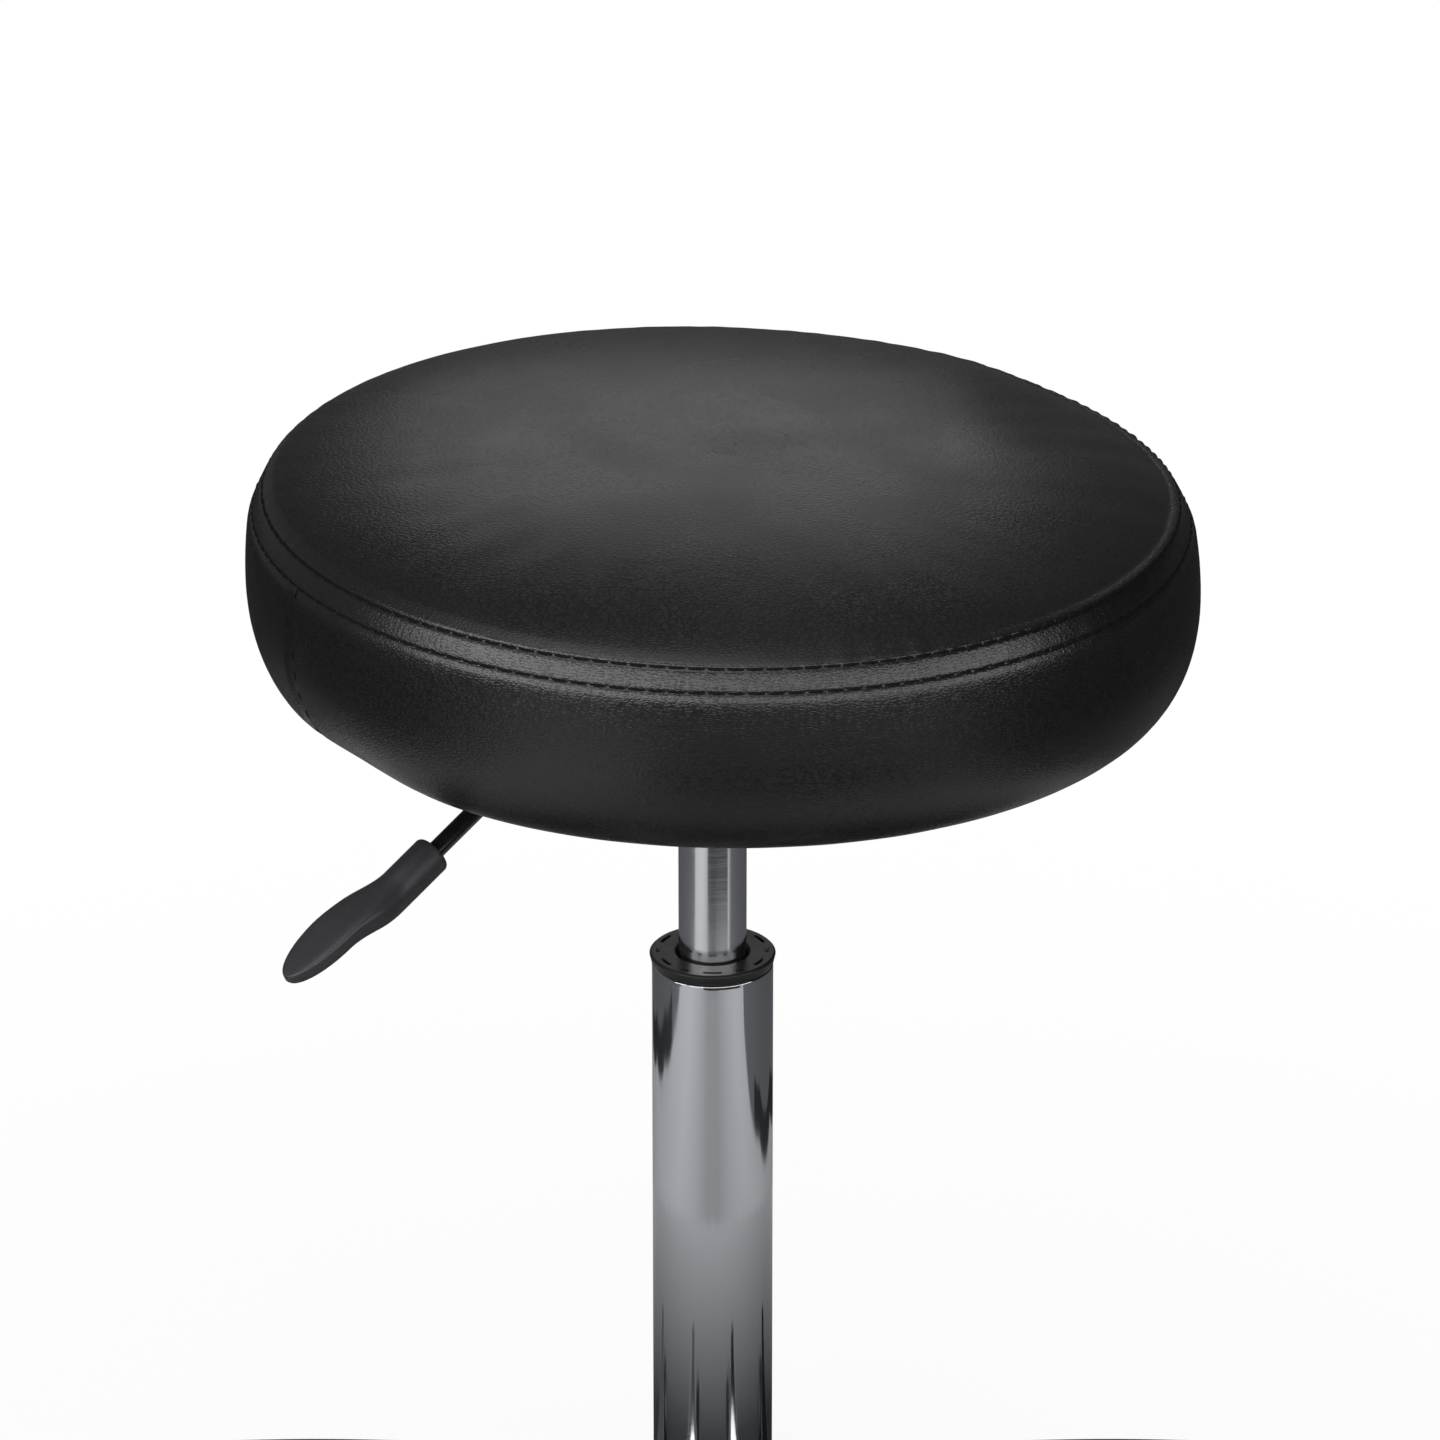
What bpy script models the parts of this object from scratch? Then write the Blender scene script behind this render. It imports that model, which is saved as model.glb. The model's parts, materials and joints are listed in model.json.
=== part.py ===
# Office stool: padded round seat on a gas lift, with a lever and a five-star caster base.
# Metres, +Z up. The origin is on the column axis at floor level, and -Y is the front.
import math

import bmesh
import bpy
from mathutils import Matrix

# Clearances
FIT = 0.0003               # between pieces that touch, seat or turn in each other
WHEEL_GAP = 0.0006         # between a wheel and the caster web
HOOD_GAP = 0.0010          # between a wheel's tread and the caster hood
PIVOT_GAP = 0.0105         # between the taper socket and the lever sleeve
SLEEVE_GAP = 0.0020        # under the lever sleeve
BUMP_GAP = 0.0050          # between the lowered cylinder and the bump stop
PISTON_GAP = 0.0020        # between the piston and the raised gland
BORE_GAP = 0.0100          # above the piston when the cylinder is lowered

# Casters
WHEEL_DIAMETER = 0.050
WHEEL_WIDTH = 0.0165
WHEEL_SIDES = 18
TREAD_EDGE = 0.0030
CAP_RADIUS = 0.0165
CAP_DISH = 0.0022
RIM_RADIUS = 0.0205
CASTER_TRAIL = 0.0250
WEB_WIDTH = 0.0140
WEB_LOW_RADIUS = 0.0150
HOOD_WALL = 0.0020
HOOD_FRONT = 30.0
HOOD_BACK = 195.0
HOOD_STEPS = 8
WEB_SET_BACK = 4.0
BOSS_DIAMETER = 0.0200
BOSS_RISE = 0.0040
AXLE_DIAMETER = 0.0060
AXLE_IN_WHEEL = 0.0100
STEM_DIAMETER = 0.0110
STEM_IN_HOOD = 0.0220
STEM_IN_LEG = 0.0180
STEM_POINT = 0.0015
COLLAR_DIAMETER = 0.0170
COLLAR_THICKNESS = 0.0020
SMALL_SIDES = 12

# Five-star base
LEG_COUNT = 5
FIRST_LEG = 90.0
LEG_REACH = 0.2280
LEG_ROOT_WIDTH = 0.0350
LEG_END_WIDTH = 0.0280
LEG_ROOT_HEIGHT = 0.0440
LEG_END_HEIGHT = 0.0240
LEG_ROOT_RAISE = 0.0060
LEG_ARCH = 0.0050
LEG_SHOULDER = 0.0090
LEG_CROWN = 0.0012
LEG_SHEET = 0.0020
LEG_SPACE = 0.0040
LEG_STATIONS = 4
SHOULDER_STEPS = 2
NOSE_STEPS = 6
SOCKET_WALL = 0.0030
HUB_WALL = 0.0060
HUB_SKIRT = 0.0080
HUB_COLLAR = 0.0080
HUB_EDGE = 0.0015

# Gas lift column
COLUMN_DIAMETER = 0.0500
COLUMN_WALL = 0.0020
COLUMN_SHOWN = 0.2360
COLUMN_TAPER = 0.0008
COLUMN_FLOOR = 0.0025
COLUMN_LIFT = 0.0040
COLUMN_EDGE = 0.0006
COLUMN_SIDES = 32
FLANGE_OVERHANG = 0.0010
FLANGE_THICKNESS = 0.0046
FLANGE_EDGE = 0.0008
FLANGE_DRAFT = 0.0009
BUSH_LENGTH = 0.0700
BUSH_MOUTH = 0.0013
BUSH_MOUTH_DEPTH = 0.0018
SLOT_COUNT = 12
SLOT_INSET = 0.0036
SLOT_WIDTH = 0.0014
SLOT_DEPTH = 0.0018
LONG_SLOT = 19.0
SHORT_SLOT = 8.0
SLOT_STEPS = 2
CYLINDER_DIAMETER = 0.0280
CYLINDER_WALL = 0.0025
CYLINDER_SHOWN = 0.0585
CYLINDER_TAPER = 0.0008
GLAND_LENGTH = 0.0200
GLAND_INSET = 0.0020
ROD_DIAMETER = 0.0100
ROD_TAIL = 0.0025
CLIP_THICKNESS = 0.0012
CLIP_GROOVE = 0.0010
CLIP_WIDTH = 0.0040
PISTON_LENGTH = 0.0140
RING_GROOVE = 0.0012
LIFT_DOWN = 0.0550
LIFT_UP = 0.0850
THRUST_DIAMETER = 0.0240
THRUST_BALLS = 6
BALL_DIAMETER = 0.0040
BALL_SIDES = 6
BALL_BANDS = 4
CAGE_THICKNESS = 0.0024
WASHER_THICKNESS = 0.0015
BUMP_LENGTH = 0.0120
BUMP_DIAMETER = 0.0220
BUMP_WAIST = 0.0020
PIN_DIAMETER = 0.0080
PIN_LENGTH = 0.0400
PIN_PROUD = 0.0035
PIN_DOME = 0.0012

# Lever and seat mechanism
LEVER_ANGLE = 224.5
LEVER_DIAMETER = 0.0074
LEVER_TAIL = 0.0100
LEVER_STRAIGHT = 0.1234
LEVER_DROOP = 25.6
LEVER_BEND = 0.0250
LEVER_LIMB = 0.0346
LEVER_SPACE = 0.0101
BEND_STEPS = 6
ROD_STEPS = 2
SLEEVE_WALL = 0.0017
PIVOT_DIAMETER = 0.0050
PIVOT_HEAD = 0.0085
PIVOT_HEAD_THICKNESS = 0.0020
SOCKET_DIAMETER = 0.0380
SOCKET_LENGTH = 0.0400
SOCKET_EDGE = 0.0012
BRACKET_SHEET = 0.0025
BRACKET_SIDE = 0.0040
BRACKET_END = 0.0240
PLATE_LENGTH = 0.1700
PLATE_WIDTH = 0.1400
PLATE_THICKNESS = 0.0025
PLATE_CORNER = 0.0120
CORNER_STEPS = 4
BOLT_EDGE = 0.0200
BOLT_DIAMETER = 0.0060
BOLT_HEAD = 0.0115
BOLT_HEAD_HEIGHT = 0.0040
BOLT_HEAD_SIDES = 6
BOLT_END_COVER = 0.0025

# Paddle handle
PADDLE_LENGTH = 0.0831
PADDLE_SOCKET = 0.0160
PADDLE_BORE = 0.0300
PADDLE_WIDTH = 0.0206
PADDLE_THICKNESS = 0.0078
PADDLE_RISE = 0.0069
PADDLE_NECK = 0.0204
PADDLE_SHOULDER = 0.0404
PADDLE_BLADE = 0.0576
PADDLE_TIP = 0.0270
PADDLE_MOUTH_EDGE = 0.0010
PADDLE_STATIONS = 9
TIP_STEPS = 5
PADDLE_SIDES = 16
ROUND_POWER = 2.0
BLADE_POWER = 5.0

# Seat
SEAT_DIAMETER = 0.3848
SEAM_HEIGHT = 0.0820
SEAM_INSET = 0.0079
CROWN_HEIGHT = 0.0172
CROWN_SPREAD = 2.6
CROWN_FULLNESS = 1.6
BELLY_HEIGHT = 0.0450
EDGE_FULLNESS = 0.78
COVER_THICKNESS = 0.0012
COVER_HEM = 0.0120
CROWN_STEPS = 6
BAND_STEPS = 4
EDGE_STEPS = 6
SEAT_SIDES = 40
BOARD_INSET = 0.0354
BOARD_THICKNESS = 0.0120
FOAM_LIP = 0.0040
DUST_THICKNESS = 0.0008
DUST_OVERLAP = 0.0100

SMOOTH_ANGLE = math.radians(38)
WELD = 0.000002            # points nearer than this are one point

# Places worked out from the sizes, from the floor upwards
WHEEL_RADIUS = WHEEL_DIAMETER / 2
AXLE_Z = WHEEL_RADIUS * math.cos(math.pi / WHEEL_SIDES)
HOOD_RADIUS = WHEEL_RADIUS + HOOD_GAP
HOOD_TOP = AXLE_Z + HOOD_RADIUS + HOOD_WALL
BOSS_TOP = HOOD_TOP + BOSS_RISE
WHEEL_OFFSET = WEB_WIDTH / 2 + WHEEL_GAP + WHEEL_WIDTH / 2
CASTER_WIDTH = WEB_WIDTH + 2 * (WHEEL_GAP + WHEEL_WIDTH)
LEG_BOTTOM = BOSS_TOP + COLLAR_THICKNESS + 2 * FIT
LEG_END_TOP = LEG_BOTTOM + LEG_END_HEIGHT
LEG_ROOT_TOP = LEG_BOTTOM + LEG_ROOT_HEIGHT
HUB_BOTTOM = LEG_BOTTOM - HUB_SKIRT
HUB_TOP = LEG_ROOT_TOP + HUB_COLLAR
COLUMN_RADIUS = COLUMN_DIAMETER / 2
COLUMN_BORE = COLUMN_RADIUS - COLUMN_WALL
LEGS_RADIUS = (LEG_ROOT_WIDTH + LEG_SPACE) / 2 / math.sin(math.pi / LEG_COUNT)
HUB_RADIUS = max(COLUMN_RADIUS + FIT + HUB_WALL, LEGS_RADIUS)
COLUMN_BOTTOM = HUB_BOTTOM + COLUMN_LIFT
COLUMN_TOP = HUB_TOP + COLUMN_SHOWN
BUSH_TOP = COLUMN_TOP + FIT + FLANGE_THICKNESS
CYLINDER_RADIUS = CYLINDER_DIAMETER / 2
CYLINDER_BORE = CYLINDER_RADIUS - CYLINDER_WALL
ROD_RADIUS = ROD_DIAMETER / 2
FLOOR_TOP = COLUMN_BOTTOM + COLUMN_FLOOR
LOWER_WASHER_Z = FLOOR_TOP + FIT
BALLS_Z = LOWER_WASHER_Z + WASHER_THICKNESS + FIT + BALL_DIAMETER / 2
UPPER_WASHER_Z = BALLS_Z + BALL_DIAMETER / 2 + FIT
BUMP_Z = UPPER_WASHER_Z + WASHER_THICKNESS + FIT
CYLINDER_BOTTOM = BUMP_Z + BUMP_LENGTH + BUMP_GAP + LIFT_DOWN
GLAND_TOP = CYLINDER_BOTTOM + GLAND_INSET + GLAND_LENGTH
PISTON_BOTTOM = GLAND_TOP + LIFT_UP + PISTON_GAP
PISTON_TOP = PISTON_BOTTOM + PISTON_LENGTH
BORE_TOP = PISTON_TOP + LIFT_DOWN + BORE_GAP
CLIP_Z = COLUMN_BOTTOM - FIT - CLIP_THICKNESS
SOCKET_BOTTOM = BUSH_TOP + CYLINDER_SHOWN
CYLINDER_TOP = SOCKET_BOTTOM + SOCKET_LENGTH + SOCKET_EDGE
PIN_TOP = CYLINDER_TOP + PIN_PROUD
LEVER_RADIUS = LEVER_DIAMETER / 2
LEVER_Z = PIN_TOP + FIT + LEVER_RADIUS
PLATE_BOTTOM = LEVER_Z + LEVER_SPACE
DUST_BOTTOM = PLATE_BOTTOM + PLATE_THICKNESS + FIT
SEAT_BOTTOM = DUST_BOTTOM + DUST_THICKNESS + FIT
SLEEVE_RADIUS = PIVOT_DIAMETER / 2 + FIT + SLEEVE_WALL
PIVOT_Z = LEVER_Z - LEVER_RADIUS - FIT - SLEEVE_RADIUS
PIVOT_REACH = SOCKET_DIAMETER / 2 + PIVOT_GAP + SLEEVE_RADIUS
BRACKET_INSIDE = SOCKET_DIAMETER + 2 * BRACKET_SIDE
BRACKET_BOTTOM = PIVOT_Z - SLEEVE_RADIUS - SLEEVE_GAP - BRACKET_SHEET
BRACKET_TOP = PLATE_BOTTOM - FIT
BRACKET_START = -SOCKET_DIAMETER / 2 - BRACKET_END
BRACKET_FINISH = PIVOT_REACH + BRACKET_END
SEAT_RADIUS = SEAT_DIAMETER / 2
SEAM_RADIUS = SEAT_RADIUS - SEAM_INSET
BOARD_RADIUS = SEAT_RADIUS - BOARD_INSET
BOARD_BOTTOM = SEAT_BOTTOM + COVER_THICKNESS + FIT
BOARD_TOP = BOARD_BOTTOM + BOARD_THICKNESS
HEM_RADIUS = BOARD_RADIUS - COVER_HEM
BOLT_X = PLATE_LENGTH / 2 - BOLT_EDGE
BOLT_Y = PLATE_WIDTH / 2 - BOLT_EDGE
BOLT_RADIUS = BOLT_DIAMETER / 2


# Scene and mesh helpers
def clear_scene():
    for item in list(bpy.data.objects):
        bpy.data.objects.remove(item, do_unlink=True)


def new_collection(name):
    collection = bpy.data.collections.new(name)
    bpy.context.scene.collection.children.link(collection)
    return collection


def finish(name, colour, roughness, metallic=0.0):
    material = bpy.data.materials.new(name)
    material.use_nodes = True
    shader = material.node_tree.nodes["Principled BSDF"]
    channels = [int(colour[i:i + 2], 16) / 255 for i in (0, 2, 4)]
    shader.inputs["Base Color"].default_value = [c ** 2.2 for c in channels] + [1.0]
    shader.inputs["Roughness"].default_value = roughness
    shader.inputs["Metallic"].default_value = metallic
    return material


def working(data):
    item = bpy.data.objects.new("cutter", data)
    item.hide_render = True
    item.display_type = "WIRE"
    CUTTERS.objects.link(item)
    return item


def baked(item):
    graph = bpy.context.evaluated_depsgraph_get()
    mesh = bpy.data.meshes.new_from_object(item.evaluated_get(graph))
    bpy.data.objects.remove(item, do_unlink=True)
    return mesh


def welded(mesh):
    shape = bmesh.new()
    shape.from_mesh(mesh)
    bmesh.ops.remove_doubles(shape, verts=shape.verts, dist=WELD)
    bmesh.ops.recalc_face_normals(shape, faces=shape.faces)
    shape.to_mesh(mesh)
    shape.free()
    return mesh


# A profile that starts on the axis is a solid, and one that doesn't is a ring
def turned(profile, sides):
    edges = [(i, i + 1) for i in range(len(profile) - 1)]
    if profile[0][0] > 0:
        edges.append((len(profile) - 1, 0))
    mesh = bpy.data.meshes.new("profile")
    mesh.from_pydata([(radius, 0, z) for radius, z in profile], edges, [])
    item = working(mesh)
    screw = item.modifiers.new("turn", "SCREW")
    screw.steps = sides
    screw.render_steps = sides
    screw.use_merge_vertices = True
    screw.merge_threshold = WELD
    return baked(item)


def ring(inner, outer, bottom, top, sides):
    return turned([(outer, top), (outer, bottom), (inner, bottom), (inner, top)], sides)


def flat(outline, thickness):
    curve = bpy.data.curves.new("outline", "CURVE")
    curve.dimensions = "2D"
    curve.fill_mode = "BOTH"
    curve.extrude = thickness / 2
    spline = curve.splines.new("POLY")
    spline.points.add(len(outline) - 1)
    for point, (x, y) in zip(spline.points, outline):
        point.co = (x, y, 0, 1)
    spline.use_cyclic_u = True
    return welded(baked(working(curve)))


def wire(points, radius, resolution):
    curve = bpy.data.curves.new("wire", "CURVE")
    curve.dimensions = "3D"
    curve.bevel_depth = radius
    curve.bevel_resolution = resolution
    curve.use_fill_caps = True
    spline = curve.splines.new("POLY")
    spline.points.add(len(points) - 1)
    for point, place in zip(spline.points, points):
        point.co = (*place, 1)
    return welded(baked(working(curve)))


def cylinder(radius, depth, sides):
    mesh = bpy.data.meshes.new("cylinder")
    shape = bmesh.new()
    bmesh.ops.create_cone(shape, cap_ends=True, segments=sides, radius1=radius, radius2=radius, depth=depth)
    shape.to_mesh(mesh)
    shape.free()
    return mesh


def moved(mesh, place, turn=None):
    matrix = Matrix.Translation(place)
    if turn:
        matrix = matrix @ Matrix.Rotation(math.radians(turn[0]), 4, turn[1])
    mesh.transform(matrix)
    return mesh


def combined(mesh, other, operation):
    item = working(mesh)
    tool = working(other)
    boolean = item.modifiers.new("combine", "BOOLEAN")
    boolean.operation = operation
    boolean.object = tool
    result = baked(item)
    bpy.data.objects.remove(tool, do_unlink=True)
    return result


def cut(mesh, *tools):
    for tool in tools:
        mesh = combined(mesh, tool, "DIFFERENCE")
    return mesh


def joined(mesh, *others):
    for other in others:
        mesh = combined(mesh, other, "UNION")
    return mesh


def empty(name, parent=None, place=(0, 0, 0), turn=0.0):
    item = bpy.data.objects.new(name, None)
    item.parent = parent
    item.location = place
    item.rotation_euler = (0, 0, turn)
    STOOL.objects.link(item)
    return item


def piece(name, mesh, material, parent, place=(0, 0, 0), turn=(0, 0, 0)):
    item = bpy.data.objects.new(name, mesh)
    item.parent = parent
    item.location = place
    item.rotation_euler = turn
    if not mesh.materials:
        mesh.materials.append(material)
        mesh.shade_smooth()
        mesh.set_sharp_from_angle(angle=SMOOTH_ANGLE)
    STOOL.objects.link(item)
    return item


def arc(radius, first, last, steps):
    angles = [math.radians(first + (last - first) * i / steps) for i in range(steps + 1)]
    return [(radius * math.cos(a), radius * math.sin(a)) for a in angles]


def smoothstep(value, start, end):
    share = min(max((value - start) / (end - start), 0.0), 1.0)
    return share * share * (3 - 2 * share)


# Moves a turned profile inwards, along its own normals
def inset(profile, depth):
    result = []
    for i, (radius, z) in enumerate(profile):
        before = profile[max(i - 1, 0)]
        after = profile[min(i + 1, len(profile) - 1)]
        run = after[0] - before[0]
        rise = after[1] - before[1]
        length = math.hypot(run, rise)
        if radius == 0:
            result.append((0.0, z - depth))
        else:
            result.append((radius + depth * rise / length, z - depth * run / length))
    return result


# Casters
def wheel_mesh():
    half = WHEEL_WIDTH / 2
    bore = AXLE_DIAMETER / 2 + FIT
    bore_end = -half + AXLE_IN_WHEEL + FIT
    profile = [
        (0, half),
        (CAP_RADIUS, half - CAP_DISH),
        (RIM_RADIUS, half),
        (WHEEL_RADIUS, half - TREAD_EDGE),
        (WHEEL_RADIUS, -half),
        (bore, -half),
        (bore, bore_end),
        (0, bore_end),
    ]
    mesh = turned(profile, WHEEL_SIDES)
    return moved(mesh, (0, 0, 0), (180 / WHEEL_SIDES, "Z"))


# The hood is a web between the wheels, a cover over them and an upright boss for the stem
def hood_mesh():
    mid = HOOD_RADIUS + HOOD_WALL / 2
    web_front = HOOD_FRONT + WEB_SET_BACK
    web_back = HOOD_BACK - WEB_SET_BACK
    web = flat(
        arc(mid, web_front, web_back, HOOD_STEPS)
        + arc(WEB_LOW_RADIUS, web_back, web_front + 360, HOOD_STEPS // 2),
        WEB_WIDTH,
    )
    cover = flat(
        arc(HOOD_RADIUS + HOOD_WALL, HOOD_FRONT, HOOD_BACK, HOOD_STEPS)
        + arc(HOOD_RADIUS, HOOD_BACK, HOOD_FRONT, HOOD_STEPS),
        CASTER_WIDTH,
    )
    upright = Matrix.Rotation(math.pi / 2, 4, "Z") @ Matrix.Rotation(math.pi / 2, 4, "X")
    axle_place = Matrix.Translation((0, -CASTER_TRAIL, AXLE_Z))
    for mesh in (web, cover):
        mesh.transform(axle_place @ upright)
    depth = STEM_IN_HOOD + SOCKET_WALL
    boss = moved(cylinder(BOSS_DIAMETER / 2, depth, SMALL_SIDES), (0, 0, BOSS_TOP - depth / 2))
    side = (CASTER_WIDTH - WEB_WIDTH) / 2
    spaces = []
    for sign in (-1, 1):
        space = cylinder(HOOD_RADIUS - FIT, side, 2 * HOOD_STEPS)
        place = (sign * ((WEB_WIDTH + side) / 2 - FIT), -CASTER_TRAIL, AXLE_Z)
        spaces.append(moved(space, place, (90, "Y")))
    boss = cut(boss, *spaces)
    hood = joined(web, cover, boss)
    hole_top = BOSS_TOP + FIT
    hole = STEM_IN_HOOD + 2 * FIT
    stem_hole = cylinder(STEM_DIAMETER / 2 + FIT, hole, SMALL_SIDES)
    axle_hole = cylinder(AXLE_DIAMETER / 2 + FIT, CASTER_WIDTH, SMALL_SIDES)
    return cut(
        hood,
        moved(stem_hole, (0, 0, hole_top - hole / 2)),
        moved(axle_hole, (0, -CASTER_TRAIL, AXLE_Z), (90, "Y")),
    )


def stem_mesh():
    radius = STEM_DIAMETER / 2
    collar = COLLAR_DIAMETER / 2
    collar_bottom = BOSS_TOP + FIT
    collar_top = collar_bottom + COLLAR_THICKNESS
    top = LEG_BOTTOM + STEM_IN_LEG
    bottom = BOSS_TOP - STEM_IN_HOOD
    profile = [
        (0, top),
        (radius - STEM_POINT, top),
        (radius, top - STEM_POINT),
        (radius, collar_top),
        (collar, collar_top),
        (collar, collar_bottom),
        (radius, collar_bottom),
        (radius, bottom + FIT),
        (0, bottom + FIT),
    ]
    return turned(profile, SMALL_SIDES)


def build_casters():
    hood = hood_mesh()
    stem = stem_mesh()
    axle = cylinder(AXLE_DIAMETER / 2, WEB_WIDTH + 2 * (WHEEL_GAP + AXLE_IN_WHEEL), SMALL_SIDES)
    wheel = wheel_mesh()
    for n in range(1, LEG_COUNT + 1):
        angle = math.radians(FIRST_LEG + 360 / LEG_COUNT * (n - 1))
        stem_axis = (LEG_REACH * math.cos(angle), LEG_REACH * math.sin(angle), 0)
        caster = empty(f"caster_swivel_{n}", place=stem_axis)
        piece(f"caster_stem_{n}", stem, ZINC, None, stem_axis)
        piece(f"caster_hood_{n}", hood, NYLON, caster)
        axle_place = (0, -CASTER_TRAIL, AXLE_Z)
        piece(f"caster_axle_{n}", axle, ZINC, caster, axle_place, (0, math.pi / 2, 0))
        for side, sign in (("left", -1), ("right", 1)):
            place = (sign * WHEEL_OFFSET, -CASTER_TRAIL, AXLE_Z)
            piece(f"wheel_{n}_{side}", wheel, NYLON, caster, place, (0, sign * math.pi / 2, 0))


# Five-star base
def leg_profile(width, height):
    points = [(0, 0)]
    for i in range(SHOULDER_STEPS + 1):
        angle = math.pi / 2 * i / SHOULDER_STEPS
        out = width / 2 - LEG_SHOULDER * (1 - math.sin(angle))
        points.append((out, -LEG_CROWN - LEG_SHOULDER * (1 - math.cos(angle))))
    points.append((width / 2, -height))
    return points


# How far the nose's top has dropped at a distance from the stem axis
def nose_drop(out):
    past = max(out - (LEG_END_WIDTH / 2 - LEG_SHOULDER), 0.0) / LEG_SHOULDER
    return LEG_CROWN + LEG_SHOULDER * (1 - math.sqrt(max(1 - past * past, 0.0)))


# Ribs run out along one side of the leg, round its nose and back along the other side
def leg_ribs():
    root = HUB_RADIUS - LEG_SHEET
    ribs = []
    for i in range(LEG_STATIONS + 1):
        t = i / LEG_STATIONS
        x = root + (LEG_REACH - root) * t
        arch = 4 * LEG_ARCH * t * (1 - t)
        top = LEG_ROOT_TOP + (LEG_END_TOP - LEG_ROOT_TOP) * t + arch
        bottom = LEG_BOTTOM + LEG_ROOT_RAISE * (1 - t) + arch
        width = LEG_ROOT_WIDTH + (LEG_END_WIDTH - LEG_ROOT_WIDTH) * t
        ribs.append((x, top, width, top - bottom))
    sides = [(rib, math.pi / 2) for rib in ribs[:-1]]
    nose = [(ribs[-1], math.pi / 2 - math.pi * i / NOSE_STEPS) for i in range(NOSE_STEPS + 1)]
    back = [(rib, -math.pi / 2) for rib in reversed(ribs[:-1])]
    return sides + nose + back


def leg_mesh():
    shape = bmesh.new()
    rows = []
    for (x, top, width, height), angle in leg_ribs():
        row = []
        for out, drop in leg_profile(width, height):
            place = (x + out * math.cos(angle), out * math.sin(angle), top + drop)
            row.append(shape.verts.new(place))
        rows.append(row)
    for first, second in zip(rows, rows[1:]):
        for i in range(len(first) - 1):
            shape.faces.new((first[i], first[i + 1], second[i + 1], second[i]))
    bmesh.ops.remove_doubles(shape, verts=shape.verts, dist=WELD)
    bmesh.ops.dissolve_degenerate(shape, edges=shape.edges, dist=WELD)
    bmesh.ops.recalc_face_normals(shape, faces=shape.faces)
    mesh = bpy.data.meshes.new("leg")
    shape.to_mesh(mesh)
    shape.free()
    item = working(mesh)
    sheet = item.modifiers.new("sheet", "SOLIDIFY")
    sheet.thickness = LEG_SHEET
    sheet.offset = -1
    sheet.use_even_offset = True
    leg = baked(item)
    bore = STEM_DIAMETER / 2 + FIT
    boss_top = LEG_END_TOP - nose_drop(bore + SOCKET_WALL) - LEG_SHEET / 4
    boss = ring(bore, bore + SOCKET_WALL, LEG_BOTTOM, boss_top, SMALL_SIDES)
    leg = joined(leg, moved(boss, (LEG_REACH, 0, 0)))
    hub_space = cylinder(HUB_RADIUS + FIT, 2 * HUB_TOP, COLUMN_SIDES)
    return cut(leg, moved(hub_space, (0, 0, HUB_TOP)))


def hub_mesh():
    bore_top = COLUMN_RADIUS + FIT
    bore_bottom = bore_top - COLUMN_TAPER
    profile = [
        (HUB_RADIUS - HUB_EDGE, HUB_TOP),
        (HUB_RADIUS, HUB_TOP - HUB_EDGE),
        (HUB_RADIUS, HUB_BOTTOM + HUB_EDGE),
        (HUB_RADIUS - HUB_EDGE, HUB_BOTTOM),
        (bore_bottom, HUB_BOTTOM),
        (bore_top, HUB_TOP),
    ]
    return turned(profile, COLUMN_SIDES)


def build_base():
    piece("base_hub", hub_mesh(), CHROME, None)
    leg = leg_mesh()
    for n in range(1, LEG_COUNT + 1):
        angle = math.radians(FIRST_LEG + 360 / LEG_COUNT * (n - 1))
        piece(f"leg_{n}", leg, CHROME, None, turn=(0, 0, angle))


# Gas lift column
def tube_mesh():
    taper = COLUMN_TAPER * (HUB_TOP - COLUMN_BOTTOM) / (HUB_TOP - HUB_BOTTOM)
    bottom_radius = COLUMN_RADIUS - taper
    hole = ROD_RADIUS + 2 * FIT
    profile = [
        (COLUMN_RADIUS - COLUMN_EDGE, COLUMN_TOP),
        (COLUMN_RADIUS, COLUMN_TOP - COLUMN_EDGE),
        (COLUMN_RADIUS, HUB_TOP),
        (bottom_radius, COLUMN_BOTTOM),
        (hole, COLUMN_BOTTOM),
        (hole, FLOOR_TOP),
        (COLUMN_BORE - taper, FLOOR_TOP),
        (COLUMN_BORE - taper, HUB_TOP),
        (COLUMN_BORE, HUB_TOP + COLUMN_TAPER),
        (COLUMN_BORE, COLUMN_TOP),
    ]
    return turned(profile, COLUMN_SIDES)


# The flange covers the tube's rim, and its ring of slots alternates long and short
def bush_mesh():
    flange = COLUMN_RADIUS + FLANGE_OVERHANG
    sleeve = COLUMN_BORE - FIT
    bore = CYLINDER_RADIUS + FIT
    flange_bottom = BUSH_TOP - FLANGE_THICKNESS
    bush_bottom = flange_bottom - BUSH_LENGTH
    profile = [
        (flange - FLANGE_EDGE, BUSH_TOP),
        (flange, BUSH_TOP - FLANGE_EDGE),
        (flange - FLANGE_DRAFT, flange_bottom),
        (sleeve, flange_bottom),
        (sleeve, bush_bottom),
        (bore, bush_bottom),
        (bore, BUSH_TOP - BUSH_MOUTH_DEPTH),
        (bore + BUSH_MOUTH, BUSH_TOP),
    ]
    mesh = turned(profile, COLUMN_SIDES)
    middle = flange - SLOT_INSET
    for i in range(SLOT_COUNT):
        span = LONG_SLOT if i % 2 else SHORT_SLOT
        centre = 360 / SLOT_COUNT * i
        first = centre - span / 2
        last = centre + span / 2
        outline = arc(middle + SLOT_WIDTH / 2, first, last, SLOT_STEPS)
        outline += arc(middle - SLOT_WIDTH / 2, last, first, SLOT_STEPS)
        mesh = cut(mesh, moved(flat(outline, 2 * SLOT_DEPTH), (0, 0, BUSH_TOP)))
    return mesh


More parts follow.
